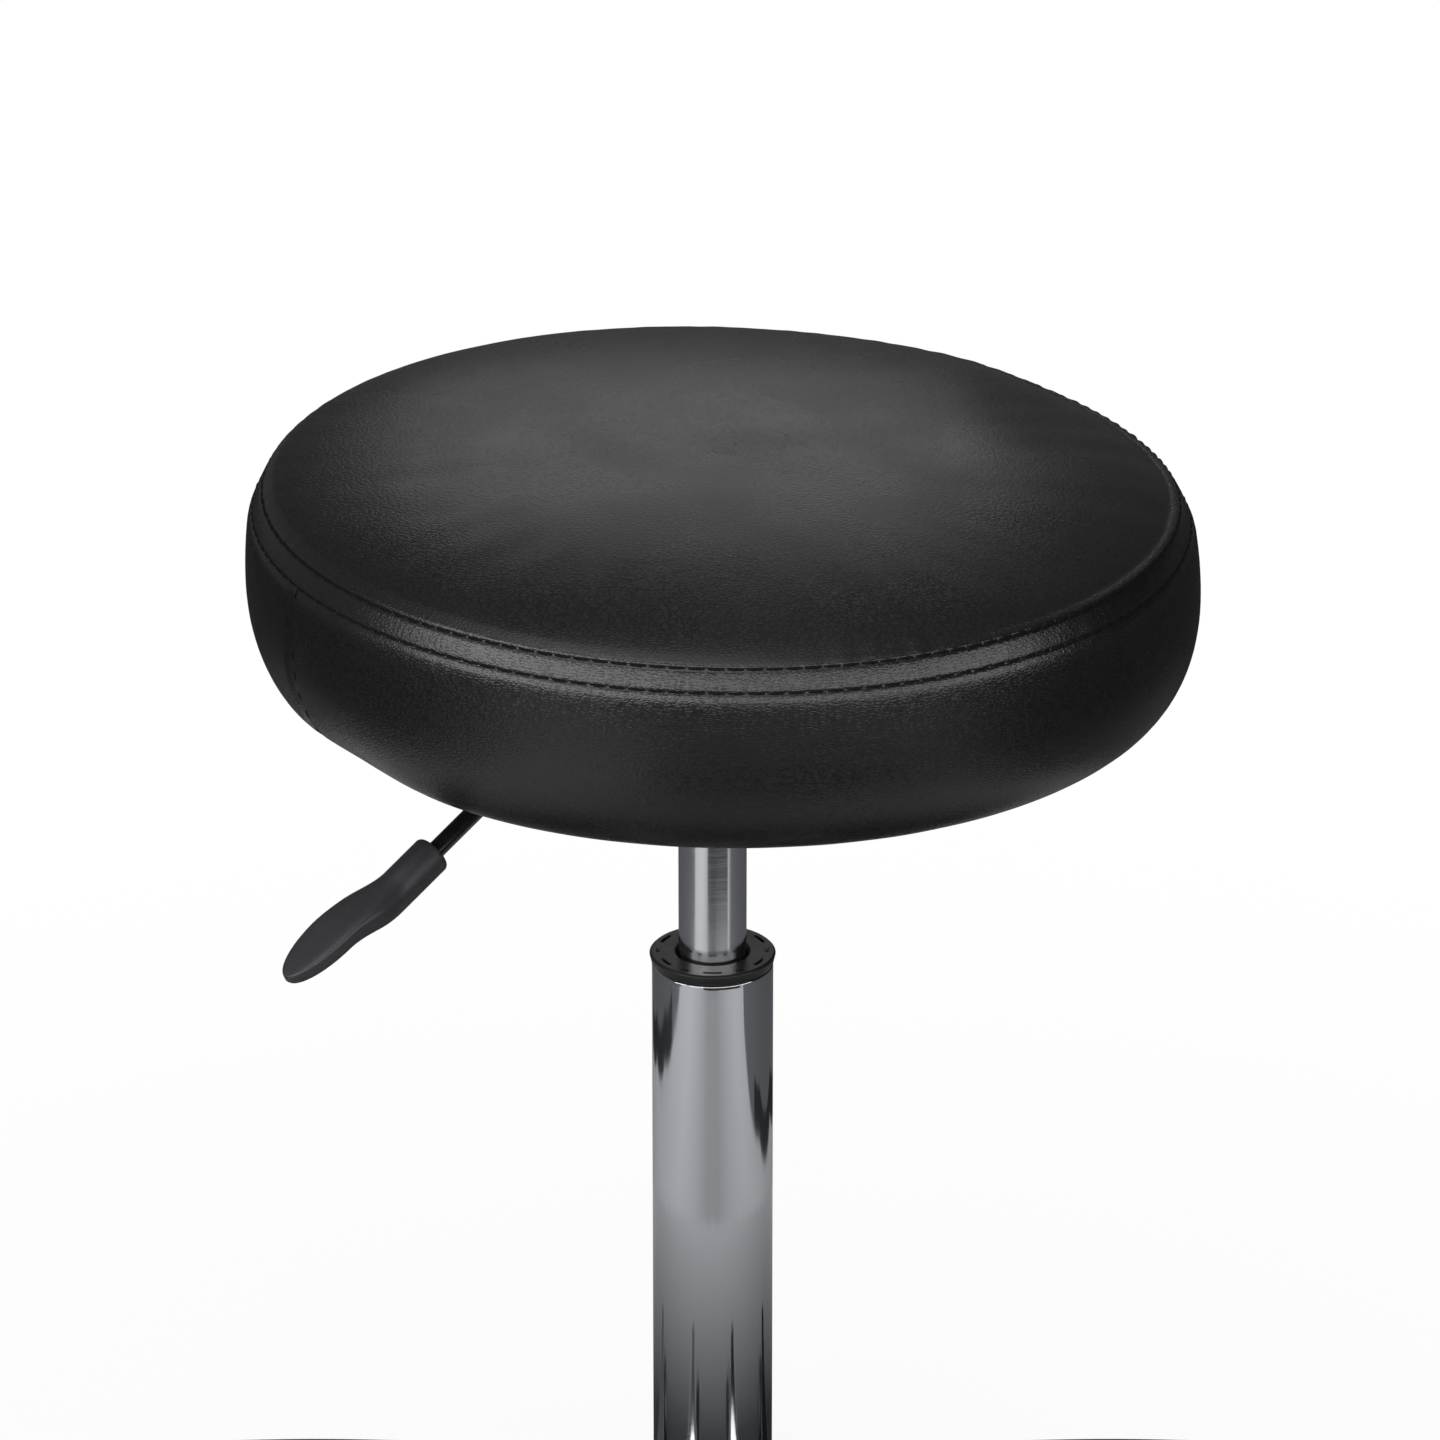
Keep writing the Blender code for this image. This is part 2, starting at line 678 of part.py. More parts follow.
def cylinder_taper(z):
    share = (z - SOCKET_BOTTOM) / (CYLINDER_TOP - SOCKET_BOTTOM)
    return CYLINDER_RADIUS - CYLINDER_TAPER * share


def inner_cylinder_mesh():
    pin_hole = PIN_DIAMETER / 2 + FIT
    profile = [
        (cylinder_taper(CYLINDER_TOP), CYLINDER_TOP),
        (CYLINDER_RADIUS, SOCKET_BOTTOM),
        (CYLINDER_RADIUS, CYLINDER_BOTTOM),
        (CYLINDER_BORE, CYLINDER_BOTTOM),
        (CYLINDER_BORE, BORE_TOP),
        (pin_hole, BORE_TOP),
        (pin_hole, CYLINDER_TOP),
    ]
    return turned(profile, COLUMN_SIDES)


def piston_rod_mesh():
    groove = ROD_RADIUS - CLIP_GROOVE
    groove_top = CLIP_Z + CLIP_THICKNESS + FIT
    groove_bottom = CLIP_Z - FIT
    profile = [
        (0, PISTON_TOP + FIT),
        (ROD_RADIUS, PISTON_TOP + FIT),
        (ROD_RADIUS, groove_top),
        (groove, groove_top),
        (groove, groove_bottom),
        (ROD_RADIUS, groove_bottom),
        (ROD_RADIUS, groove_bottom - ROD_TAIL),
        (0, groove_bottom - ROD_TAIL),
    ]
    return turned(profile, SMALL_SIDES)


def piston_mesh():
    outer = CYLINDER_BORE - FIT
    groove = outer - RING_GROOVE
    third = PISTON_LENGTH / 3
    profile = [
        (outer, PISTON_TOP),
        (outer, PISTON_TOP - third),
        (groove, PISTON_TOP - third),
        (groove, PISTON_BOTTOM + third),
        (outer, PISTON_BOTTOM + third),
        (outer, PISTON_BOTTOM),
        (ROD_RADIUS + FIT, PISTON_BOTTOM),
        (ROD_RADIUS + FIT, PISTON_TOP),
    ]
    return turned(profile, 2 * SMALL_SIDES)


# The balls stand out of both faces of their cage
def thrust_cage_mesh():
    middle = (THRUST_DIAMETER / 2 + ROD_RADIUS) / 2
    half = BALL_DIAMETER / 4
    cage = ring(middle - half, middle + half, BALLS_Z - CAGE_THICKNESS / 2,
                BALLS_Z + CAGE_THICKNESS / 2, 2 * SMALL_SIDES)
    shape = bmesh.new()
    for x, y in arc(middle, 0, 360, THRUST_BALLS)[:-1]:
        place = Matrix.Translation((x, y, BALLS_Z))
        bmesh.ops.create_uvsphere(shape, u_segments=BALL_SIDES, v_segments=BALL_BANDS,
                                  radius=BALL_DIAMETER / 2, matrix=place)
    balls = bpy.data.meshes.new("balls")
    shape.to_mesh(balls)
    shape.free()
    return joined(cage, balls)


def bump_mesh():
    outer = BUMP_DIAMETER / 2
    bore = ROD_RADIUS + FIT
    profile = [
        (outer, BUMP_Z + BUMP_LENGTH),
        (outer - BUMP_WAIST, BUMP_Z + BUMP_LENGTH / 2),
        (outer, BUMP_Z),
        (bore, BUMP_Z),
        (bore, BUMP_Z + BUMP_LENGTH),
    ]
    return turned(profile, 2 * SMALL_SIDES)


def pin_mesh():
    radius = PIN_DIAMETER / 2
    profile = [
        (0, PIN_TOP),
        (radius / 2, PIN_TOP - PIN_DOME / 4),
        (radius, PIN_TOP - PIN_DOME),
        (radius, PIN_TOP - PIN_LENGTH),
        (0, PIN_TOP - PIN_LENGTH),
    ]
    return turned(profile, SMALL_SIDES)


def build_column(piston, seat):
    around_rod = ROD_RADIUS + FIT
    thrust = THRUST_DIAMETER / 2
    round_sides = 2 * SMALL_SIDES
    piece("column_tube", tube_mesh(), CHROME, None)
    piece("column_bush", bush_mesh(), GLOSS_BLACK, None)
    lower = ring(around_rod, thrust, LOWER_WASHER_Z, LOWER_WASHER_Z + WASHER_THICKNESS, round_sides)
    piece("thrust_washer_lower", lower, ZINC, None)
    piece("thrust_cage", thrust_cage_mesh(), ZINC, None)
    upper = ring(around_rod, thrust, UPPER_WASHER_Z, UPPER_WASHER_Z + WASHER_THICKNESS, round_sides)
    piece("thrust_washer_upper", upper, ZINC, None)
    piece("bump_stop", bump_mesh(), RUBBER, None)
    piece("piston_rod", piston_rod_mesh(), STEEL, piston)
    piece("piston_head", piston_mesh(), RUBBER, piston)
    clip_bore = ROD_RADIUS - CLIP_GROOVE + FIT
    clip = ring(clip_bore, ROD_RADIUS + CLIP_WIDTH, CLIP_Z, CLIP_Z + CLIP_THICKNESS, round_sides)
    piece("retaining_clip", clip, ZINC, piston)
    piece("inner_cylinder", inner_cylinder_mesh(), STEEL, seat)
    gland = ring(around_rod, CYLINDER_BORE - FIT, GLAND_TOP - GLAND_LENGTH, GLAND_TOP, round_sides)
    piece("cylinder_gland", gland, RUBBER, seat)
    piece("release_pin", pin_mesh(), ZINC, seat)


# Seat mechanism
def socket_mesh():
    outer = SOCKET_DIAMETER / 2
    top = SOCKET_BOTTOM + SOCKET_LENGTH
    profile = [
        (outer - SOCKET_EDGE, top),
        (outer, top - SOCKET_EDGE),
        (outer, SOCKET_BOTTOM + SOCKET_EDGE),
        (outer - SOCKET_EDGE, SOCKET_BOTTOM),
        (cylinder_taper(SOCKET_BOTTOM) + FIT, SOCKET_BOTTOM),
        (cylinder_taper(top) + FIT, top),
    ]
    return turned(profile, COLUMN_SIDES)


# A channel, open at both ends, with the pivot pin across it and the socket through its floor
def bracket_mesh():
    half = BRACKET_INSIDE / 2
    outline = [
        (-half - BRACKET_SHEET, BRACKET_TOP),
        (-half - BRACKET_SHEET, BRACKET_BOTTOM),
        (half + BRACKET_SHEET, BRACKET_BOTTOM),
        (half + BRACKET_SHEET, BRACKET_TOP),
        (half, BRACKET_TOP),
        (half, BRACKET_BOTTOM + BRACKET_SHEET),
        (-half, BRACKET_BOTTOM + BRACKET_SHEET),
        (-half, BRACKET_TOP),
    ]
    channel = flat(outline, BRACKET_FINISH - BRACKET_START)
    along = Matrix.Rotation(math.pi / 2, 4, "Z") @ Matrix.Rotation(math.pi / 2, 4, "X")
    middle = Matrix.Translation(((BRACKET_START + BRACKET_FINISH) / 2, 0, 0))
    channel.transform(middle @ along)
    floor_hole = cylinder(SOCKET_DIAMETER / 2 + FIT, 4 * BRACKET_SHEET, COLUMN_SIDES)
    pin_hole = cylinder(PIVOT_DIAMETER / 2 + FIT, 2 * BRACKET_INSIDE, SMALL_SIDES)
    return cut(
        channel,
        moved(floor_hole, (0, 0, BRACKET_BOTTOM)),
        moved(pin_hole, (PIVOT_REACH, 0, PIVOT_Z), (90, "X")),
    )


def rounded_rectangle(length, width, corner):
    outline = []
    for turn, sign_x, sign_y in ((0, 1, 1), (90, -1, 1), (180, -1, -1), (270, 1, -1)):
        centre_x = sign_x * (length / 2 - corner)
        centre_y = sign_y * (width / 2 - corner)
        for x, y in arc(corner, turn, turn + 90, CORNER_STEPS):
            outline.append((centre_x + x, centre_y + y))
    return outline


def bolt_places():
    return [(x, y) for x in (-BOLT_X, BOLT_X) for y in (-BOLT_Y, BOLT_Y)]


# Takes the four bolt holes, square to the lever, out of a piece that lies on the column axis
def drilled(mesh, middle, turn=0.0):
    spin = Matrix.Rotation(turn, 4, "Z")
    for x, y in bolt_places():
        hole = cylinder(BOLT_RADIUS + FIT, 4 * BOARD_THICKNESS, SMALL_SIDES)
        hole.transform(spin @ Matrix.Translation((x, y, middle)))
        mesh = cut(mesh, hole)
    return mesh


def plate_mesh():
    outline = rounded_rectangle(PLATE_LENGTH, PLATE_WIDTH, PLATE_CORNER)
    middle = PLATE_BOTTOM + PLATE_THICKNESS / 2
    return drilled(moved(flat(outline, PLATE_THICKNESS), (0, 0, middle)), middle)


def bolt_mesh():
    head_top = PLATE_BOTTOM - FIT
    shank_top = BOARD_TOP - BOLT_END_COVER
    head = cylinder(BOLT_HEAD / 2, BOLT_HEAD_HEIGHT, BOLT_HEAD_SIDES)
    overlap = BOLT_HEAD_HEIGHT / 2
    shank_length = shank_top - head_top + overlap
    shank = cylinder(BOLT_RADIUS, shank_length, SMALL_SIDES)
    moved(head, (0, 0, head_top - BOLT_HEAD_HEIGHT / 2))
    return joined(head, moved(shank, (0, 0, shank_top - shank_length / 2)))


def pivot_pin_mesh():
    radius = PIVOT_DIAMETER / 2
    head = PIVOT_HEAD / 2
    seat = BRACKET_INSIDE / 2 + BRACKET_SHEET + FIT
    end = seat + PIVOT_HEAD_THICKNESS
    profile = [
        (0, end),
        (head, end),
        (head, seat),
        (radius, seat),
        (radius, -seat),
        (head, -seat),
        (head, -end),
        (0, -end),
    ]
    return turned(profile, SMALL_SIDES)


def build_mechanism(mechanism):
    piece("taper_socket", socket_mesh(), SATIN_BLACK, mechanism)
    piece("lever_bracket", bracket_mesh(), SATIN_BLACK, mechanism)
    piece("mount_plate", plate_mesh(), SATIN_BLACK, mechanism)
    pin_place = (PIVOT_REACH, 0, PIVOT_Z)
    piece("pivot_pin", pivot_pin_mesh(), ZINC, mechanism, pin_place, (math.pi / 2, 0, 0))
    bolt = bolt_mesh()
    for n, (x, y) in enumerate(bolt_places(), start=1):
        piece(f"plate_bolt_{n}", bolt, ZINC, mechanism, (x, y, 0))


# Lever, in a frame on its pivot with +X along the lever
def lever_path():
    droop = math.radians(LEVER_DROOP)
    height = LEVER_Z - PIVOT_Z
    corner = LEVER_STRAIGHT - PIVOT_REACH
    shoulder = LEVER_BEND * math.tan(droop / 2)
    points = [(-PIVOT_REACH - LEVER_TAIL, 0, height)]
    for i in range(BEND_STEPS + 1):
        angle = droop * i / BEND_STEPS
        x = corner - shoulder + LEVER_BEND * math.sin(angle)
        points.append((x, 0, height - LEVER_BEND * (1 - math.cos(angle))))
    end = LEVER_LIMB + PADDLE_BORE - FIT
    points.append((corner + end * math.cos(droop), 0, height - end * math.sin(droop)))
    return points


def paddle_mouth():
    droop = math.radians(LEVER_DROOP)
    x = LEVER_STRAIGHT - PIVOT_REACH + LEVER_LIMB * math.cos(droop)
    return (x, 0, LEVER_Z - PIVOT_Z - LEVER_LIMB * math.sin(droop))


def mix(first, second, share):
    return first + (second - first) * share


# The round socket widens, flattens into a blade that rises from the rod's line and ends in an oval tip
def paddle_section(along):
    blade = smoothstep(along, PADDLE_NECK, PADDLE_BLADE)
    spread = smoothstep(along, PADDLE_NECK, PADDLE_SHOULDER)
    half_width = mix(PADDLE_SOCKET, PADDLE_WIDTH, spread) / 2
    half_height = mix(PADDLE_SOCKET, PADDLE_THICKNESS, blade) / 2
    past = max(along - (PADDLE_LENGTH - PADDLE_TIP), 0) / PADDLE_TIP
    round_off = math.sqrt(max(1 - past * past, 0.0))
    if along == 0:
        half_width -= PADDLE_MOUTH_EDGE
        half_height -= PADDLE_MOUTH_EDGE
    rise = PADDLE_RISE * blade
    power = mix(ROUND_POWER, BLADE_POWER, blade)
    section = []
    for i in range(PADDLE_SIDES):
        angle = 2 * math.pi * (i + 0.5) / PADDLE_SIDES
        cosine = math.cos(angle)
        sine = math.sin(angle)
        y = half_width * round_off * math.copysign(abs(cosine) ** (2 / power), cosine)
        z = half_height * math.sqrt(round_off) * math.copysign(abs(sine) ** (2 / power), sine)
        section.append((along, y, rise + z))
    return section


def paddle_mesh():
    tip = PADDLE_LENGTH - PADDLE_TIP
    stations = [0, PADDLE_MOUTH_EDGE]
    stations += [mix(PADDLE_NECK, tip, i / PADDLE_STATIONS) for i in range(PADDLE_STATIONS + 1)]
    for i in range(1, TIP_STEPS + 1):
        stations.append(tip + PADDLE_TIP * math.sin(math.pi / 2 * i / (TIP_STEPS + 0.5)))
    shape = bmesh.new()
    rows = [[shape.verts.new(place) for place in paddle_section(along)] for along in stations]
    for first, second in zip(rows, rows[1:]):
        for i in range(PADDLE_SIDES):
            after = (i + 1) % PADDLE_SIDES
            shape.faces.new((first[i], first[after], second[after], second[i]))
    shape.faces.new(rows[0])
    shape.faces.new(rows[-1])
    bmesh.ops.recalc_face_normals(shape, faces=shape.faces)
    mesh = bpy.data.meshes.new("paddle")
    shape.to_mesh(mesh)
    shape.free()
    bore = cylinder(LEVER_RADIUS + FIT, 2 * PADDLE_BORE, SMALL_SIDES)
    return cut(mesh, moved(bore, (0, 0, 0), (90, "Y")))


def build_lever(lever):
    piece("lever_rod", wire(lever_path(), LEVER_RADIUS, ROD_STEPS), GLOSS_BLACK, lever)
    half = BRACKET_INSIDE / 2 - FIT
    sleeve = ring(PIVOT_DIAMETER / 2 + FIT, SLEEVE_RADIUS, -half, half, SMALL_SIDES)
    piece("lever_sleeve", sleeve, ZINC, lever, turn=(math.pi / 2, 0, 0))
    tilt = (0, math.radians(LEVER_DROOP), 0)
    piece("paddle_handle", paddle_mesh(), MATT_BLACK, lever, paddle_mouth(), tilt)


# Seat: a crowned top panel sewn to a bulging side band that is drawn in under the board
def crown_profile():
    seam = SEAT_BOTTOM + SEAM_HEIGHT
    points = []
    for i in range(CROWN_STEPS + 1):
        angle = math.pi / 2 * i / CROWN_STEPS
        radius = SEAM_RADIUS * math.sin(angle) ** (2 / CROWN_SPREAD)
        height = CROWN_HEIGHT * max(math.cos(angle), 0.0) ** (2 / CROWN_FULLNESS)
        points.append((radius, seam + height))
    return points


def band_profile():
    belly = SEAT_BOTTOM + BELLY_HEIGHT
    points = []
    for i in range(BAND_STEPS):
        angle = math.pi / 2 * i / BAND_STEPS
        radius = SEAM_RADIUS + SEAM_INSET * math.sin(angle)
        points.append((radius, belly + (SEAM_HEIGHT - BELLY_HEIGHT) * math.cos(angle)))
    for i in range(EDGE_STEPS + 1):
        angle = math.pi / 2 * i / EDGE_STEPS
        reach = max(math.cos(angle), 0.0) ** EDGE_FULLNESS
        radius = BOARD_RADIUS + BOARD_INSET * reach
        points.append((radius, belly - BELLY_HEIGHT * math.sin(angle)))
    points.append((HEM_RADIUS, SEAT_BOTTOM))
    return points


def shell(profile, thickness):
    return profile + list(reversed(inset(profile, thickness)))


def top_panel_mesh():
    return turned(shell(crown_profile(), COVER_THICKNESS), SEAT_SIDES)


# The band starts one clearance below the top panel's edge
def side_band_mesh():
    first, second, *rest = band_profile()
    run = second[0] - first[0]
    drop = second[1] - first[1]
    share = 2 * FIT / math.hypot(run, drop)
    start = (first[0] + run * share, first[1] + drop * share)
    return turned(shell([start, second, *rest], COVER_THICKNESS), SEAT_SIDES)


def foam_mesh():
    depth = COVER_THICKNESS + FIT
    board_side = BOARD_RADIUS + FIT
    outside = inset(crown_profile()[:-1] + band_profile(), depth)
    crown = outside[:CROWN_STEPS]
    side = [place for place in outside[CROWN_STEPS:] if place[0] > board_side + FOAM_LIP]
    profile = crown + side
    profile += [
        (board_side, profile[-1][1]),
        (board_side, BOARD_TOP + FIT),
        (0, BOARD_TOP + FIT),
    ]
    return turned(profile, SEAT_SIDES)


def build_seat(seat):
    turn = math.radians(LEVER_ANGLE)
    piece("top_panel", top_panel_mesh(), LEATHER, seat)
    piece("side_band", side_band_mesh(), LEATHER, seat)
    piece("seat_foam", foam_mesh(), FOAM, seat)
    board_middle = (BOARD_BOTTOM + BOARD_TOP) / 2
    board = moved(cylinder(BOARD_RADIUS, BOARD_THICKNESS, SEAT_SIDES), (0, 0, board_middle))
    piece("seat_board", drilled(board, board_middle, turn), PLYWOOD, seat)
    dust_middle = DUST_BOTTOM + DUST_THICKNESS / 2
    dust = cylinder(HEM_RADIUS + DUST_OVERLAP, DUST_THICKNESS, SEAT_SIDES)
    piece("dust_cover", drilled(moved(dust, (0, 0, dust_middle)), dust_middle, turn), FABRIC, seat)


clear_scene()
STOOL = new_collection("office_stool")
CUTTERS = new_collection("cutters")

LEATHER = finish("black_leather", "1d1d1f", 0.48)
FOAM = finish("seat_foam", "c9bfa6", 0.90)
PLYWOOD = finish("plywood", "b08d5f", 0.70)
FABRIC = finish("dust_cover_fabric", "17171a", 0.95)
SATIN_BLACK = finish("black_powder_coat", "1a1a1c", 0.55)
GLOSS_BLACK = finish("gloss_black", "121213", 0.25)
MATT_BLACK = finish("matt_black_plastic", "232324", 0.60)
NYLON = finish("black_nylon", "19191b", 0.50)
RUBBER = finish("black_rubber", "161616", 0.85)
CHROME = finish("polished_chrome", "d8d9dc", 0.08, 1.0)
STEEL = finish("ground_steel", "b9babd", 0.25, 1.0)
ZINC = finish("zinc_plated_steel", "a9abae", 0.35, 1.0)

swivel = empty("seat_swivel_axis")
lift = empty("lift_axis", swivel)
lever_turn = math.radians(LEVER_ANGLE)
mechanism_frame = empty("mechanism_frame", lift, turn=lever_turn)
lever_frame = empty("lever_pivot_axis", mechanism_frame, (PIVOT_REACH, 0, PIVOT_Z))

build_base()
build_casters()
build_column(swivel, lift)
build_mechanism(mechanism_frame)
build_lever(lever_frame)
build_seat(lift)
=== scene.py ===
import json
import math

import bmesh
import bpy
import numpy as np
from mathutils import Matrix, Vector


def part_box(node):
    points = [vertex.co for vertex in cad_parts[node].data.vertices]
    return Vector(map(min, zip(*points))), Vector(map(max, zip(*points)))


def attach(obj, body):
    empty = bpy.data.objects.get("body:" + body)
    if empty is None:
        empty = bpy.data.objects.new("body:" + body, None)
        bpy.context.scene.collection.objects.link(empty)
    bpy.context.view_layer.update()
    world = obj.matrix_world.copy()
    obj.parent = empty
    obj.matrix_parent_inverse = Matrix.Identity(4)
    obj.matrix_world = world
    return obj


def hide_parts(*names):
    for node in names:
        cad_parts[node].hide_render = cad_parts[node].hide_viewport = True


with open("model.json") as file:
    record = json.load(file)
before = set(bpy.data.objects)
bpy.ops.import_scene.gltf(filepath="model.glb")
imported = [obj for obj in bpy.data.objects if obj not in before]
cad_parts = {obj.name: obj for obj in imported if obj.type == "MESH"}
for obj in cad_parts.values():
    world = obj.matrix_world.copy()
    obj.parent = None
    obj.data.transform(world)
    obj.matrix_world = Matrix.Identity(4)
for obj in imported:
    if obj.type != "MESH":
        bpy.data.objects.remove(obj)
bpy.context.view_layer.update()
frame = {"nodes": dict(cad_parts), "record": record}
nodes = frame["nodes"]
scene = bpy.context.scene


# sRGB hex to the linear colour that a shader socket takes
def hexColour(code):
    channels = [int(code[i:i + 2], 16) / 255 for i in (0, 2, 4)]
    linear = [c / 12.92 if c <= 0.04045 else ((c + 0.055) / 1.055) ** 2.4 for c in channels]
    return (*linear, 1.0)


# one node with its settings, its socket values and the sockets that feed it
def addNode(tree, kind, values=None, links=None, **settings):
    node = tree.nodes.new(kind)
    for name, value in settings.items():
        setattr(node, name, value)
    for socket, value in (values or {}).items():
        node.inputs[socket].default_value = value
    for socket, source in (links or {}).items():
        tree.links.new(source, node.inputs[socket])
    return node


def outOf(tree, kind, values=None, links=None, **settings):
    return addNode(tree, kind, values, links, **settings).outputs[0]


# arithmetic on numbers and sockets
def maths(tree, operation, *terms):
    values = {i: term for i, term in enumerate(terms) if isinstance(term, (int, float))}
    links = {i: term for i, term in enumerate(terms) if i not in values}
    return outOf(tree, "ShaderNodeMath", values, links, operation=operation)


def remap(tree, value, source, target=(0.0, 1.0), smooth=False):
    limits = {"From Min": source[0], "From Max": source[1], "To Min": target[0], "To Max": target[1]}
    return outOf(tree, "ShaderNodeMapRange", limits, {"Value": value},
                 interpolation_type="SMOOTHSTEP" if smooth else "LINEAR")


def blend(tree, share, first, second):
    ends = {6: hexColour(first), 7: hexColour(second)}
    return addNode(tree, "ShaderNodeMix", ends, {0: share}, data_type="RGBA").outputs[2]


# noise with features of one size, or of a size along each axis
def noise(tree, place, size, detail, distortion=0.0):
    values = {"Scale": 1.0, "Detail": detail, "Distortion": distortion}
    if isinstance(size, tuple):
        scale = tuple(1 / length for length in size)
        place = outOf(tree, "ShaderNodeMapping", {"Scale": scale}, {"Vector": place})
    else:
        values["Scale"] = 1 / size
    return addNode(tree, "ShaderNodeTexNoise", values, {"Vector": place})


def bump(tree, shader, height, strength, depth):
    relief = outOf(tree, "ShaderNodeBump", {"Strength": strength, "Distance": depth}, {"Height": height})
    tree.links.new(relief, shader.inputs["Normal"])


def startMaterial(name, values):
    material = bpy.data.materials.new(name)
    material.use_nodes = True
    shader = material.node_tree.nodes["Principled BSDF"]
    for socket, value in values.items():
        shader.inputs[socket].default_value = value
    return material, material.node_tree, shader


def objectPlace(tree):
    return addNode(tree, "ShaderNodeTexCoord").outputs["Object"]


# materials

leatherLook = {
    # the crease colour is painted shade, darker in the creases between the pebbles
    "face": "121213", "crease": "09090a", "shine": 0.45, "dull": (0.26, 0.31),
    "pebble": 0.0017,             # embossed pebble, centre to centre
    "squeeze": (0.65, 1.0, 1.6),  # the pebbles are wider than high
    "dome": 0.30,                 # share of a pebble that is rounded
    "wander": 0.0007,             # how far the creases stray from straight cells
    "pore": 0.0005, "poreDepth": 0.35,
    "gather": 0.0014, "gatherDepth": 1.5,          # fine creases across the sewing
    "gatherMiddle": 0.004, "gatherReach": (0.006, 0.017), "gatherRound": 0.185, "gatherDown": 120,
    "tight": (-0.07, -0.01), "flattened": 0.55,    # over the crown the cloth is drawn tight
    "mottle": 0.055, "mottleSpread": (0.3, 0.7),   # dull and bright patches left by hands
    "bump": (0.7, 0.00007),
}


def puLeather():
    # PU-coated cloth embossed with a fine pebble: a soft broken sheen, with painted shade that darkens the
    # colour in the creases between the pebbles
    look = leatherLook
    material, tree, shader = startMaterial("puLeatherEmbossed", {"Specular IOR Level": look["shine"]})
    place = objectPlace(tree)
    stray = noise(tree, place, 2 * look["pebble"], 2.0).outputs["Color"]
    bent = outOf(tree, "ShaderNodeVectorMath", {1: (look["wander"],) * 3}, {0: stray, 2: place},
                 operation="MULTIPLY_ADD")
    flat = outOf(tree, "ShaderNodeMapping", {"Scale": look["squeeze"]}, {"Vector": bent})
    cells = outOf(tree, "ShaderNodeTexVoronoi", {"Scale": 1 / look["pebble"]}, {"Vector": flat},
                  feature="DISTANCE_TO_EDGE")
    domes = remap(tree, cells, (0, look["dome"]), smooth=True)
    pores = noise(tree, place, look["pore"], 2.0).outputs[0]
    # the attribute holds the direction round the seat and the distance below the seam
    sewn = addNode(tree, "ShaderNodeAttribute", attribute_name="sewn").outputs["Vector"]
    around = look["gatherRound"] / look["gather"]
    spread = outOf(tree, "ShaderNodeVectorMath", {1: (around, around, look["gatherDown"])}, {0: sewn},
                   operation="MULTIPLY")
    gathers = noise(tree, spread, 1.0, 1.0).outputs[0]
    below = addNode(tree, "ShaderNodeSeparateXYZ", links={0: sewn}).outputs["Z"]
    away = maths(tree, "ABSOLUTE", maths(tree, "SUBTRACT", below, look["gatherMiddle"]))
    near = remap(tree, away, look["gatherReach"], (look["gatherDepth"], 0), True)
    # the tight crown flattens the grain and closes the pores
    slack = remap(tree, below, look["tight"], (0, look["poreDepth"]), True)
    grain = maths(tree, "MULTIPLY_ADD", pores, slack, domes)
    full = remap(tree, slack, (0, look["poreDepth"]), (look["flattened"], 1))
    height = maths(tree, "MULTIPLY_ADD", gathers, near, maths(tree, "MULTIPLY", grain, full))
    bump(tree, shader, height, *look["bump"])
    mottle = noise(tree, place, look["mottle"], 1.0).outputs[0]
    tree.links.new(remap(tree, mottle, look["mottleSpread"], look["dull"], True), shader.inputs["Roughness"])
    # painted shade: the crease colour darkens the creases between the pebbles
    tree.links.new(blend(tree, domes, look["crease"], look["face"]), shader.inputs["Base Color"])
    return material


# one layer of noise tones the colour and the roughness; the relief has its own grain or the same layer.
# a layer is (size, detail), and the size may differ along each axis
def noiseMaterial(name, look, values):
    material, tree, shader = startMaterial(name, {"Base Color": hexColour(look["face"]), **values})
    place = objectPlace(tree)
    share = remap(tree, noise(tree, place, *look["tone"]).outputs[0], look.get("spread", (0, 1)))
    if "under" in look:
        tree.links.new(blend(tree, share, look["under"], look["face"]), shader.inputs["Base Color"])
    if "dull" in look:
        tree.links.new(remap(tree, share, (0, 1), look["dull"]), shader.inputs["Roughness"])
    if "bump" in look:
        height = noise(tree, place, *look["grain"]).outputs[0] if "grain" in look else share
        bump(tree, shader, height, *look["bump"])
    return material


# spunbond polypropylene cloth: dull black fibres, pressed flat at a grid of bond points
feltLook = {"face": "1f1f21", "bond": "121213", "dot": 0.0018, "pressed": (0.2, 0.4), "fibre": 0.0006,
            "fibreDepth": 0.5, "bump": (0.8, 0.00012)}


def spunbondCloth():
    look = feltLook
    material, tree, shader = startMaterial("polypropyleneSpunbond",
                                           {"Roughness": 0.92, "Sheen Weight": 0.2})
    place = objectPlace(tree)
    dots = outOf(tree, "ShaderNodeTexVoronoi", {"Scale": 1 / look["dot"], "Randomness": 0.0},
                 {"Vector": place}, voronoi_dimensions="2D")
    pressed = remap(tree, dots, look["pressed"])
    fibres = noise(tree, place, look["fibre"], 3.0, 1.0).outputs[0]
    bump(tree, shader, maths(tree, "MULTIPLY_ADD", fibres, look["fibreDepth"], pressed), *look["bump"])
    tree.links.new(blend(tree, pressed, look["bond"], look["face"]), shader.inputs["Base Color"])
    return material


# twisted polyester sewing thread: dull black with a faint lay
threadLook = {"face": "070708", "tone": (0.00035, 1.0), "bump": (0.6, 0.00006)}
# steel, polished and chrome plated: a dark clear mirror with faint wiping marks
chromeLook = {"face": "c0c2c5", "tone": (0.03, 5.0), "spread": (0.35, 0.7), "dull": (0.045, 0.10),
              "grain": (0.0012, 2.0), "bump": (0.5, 0.000004)}
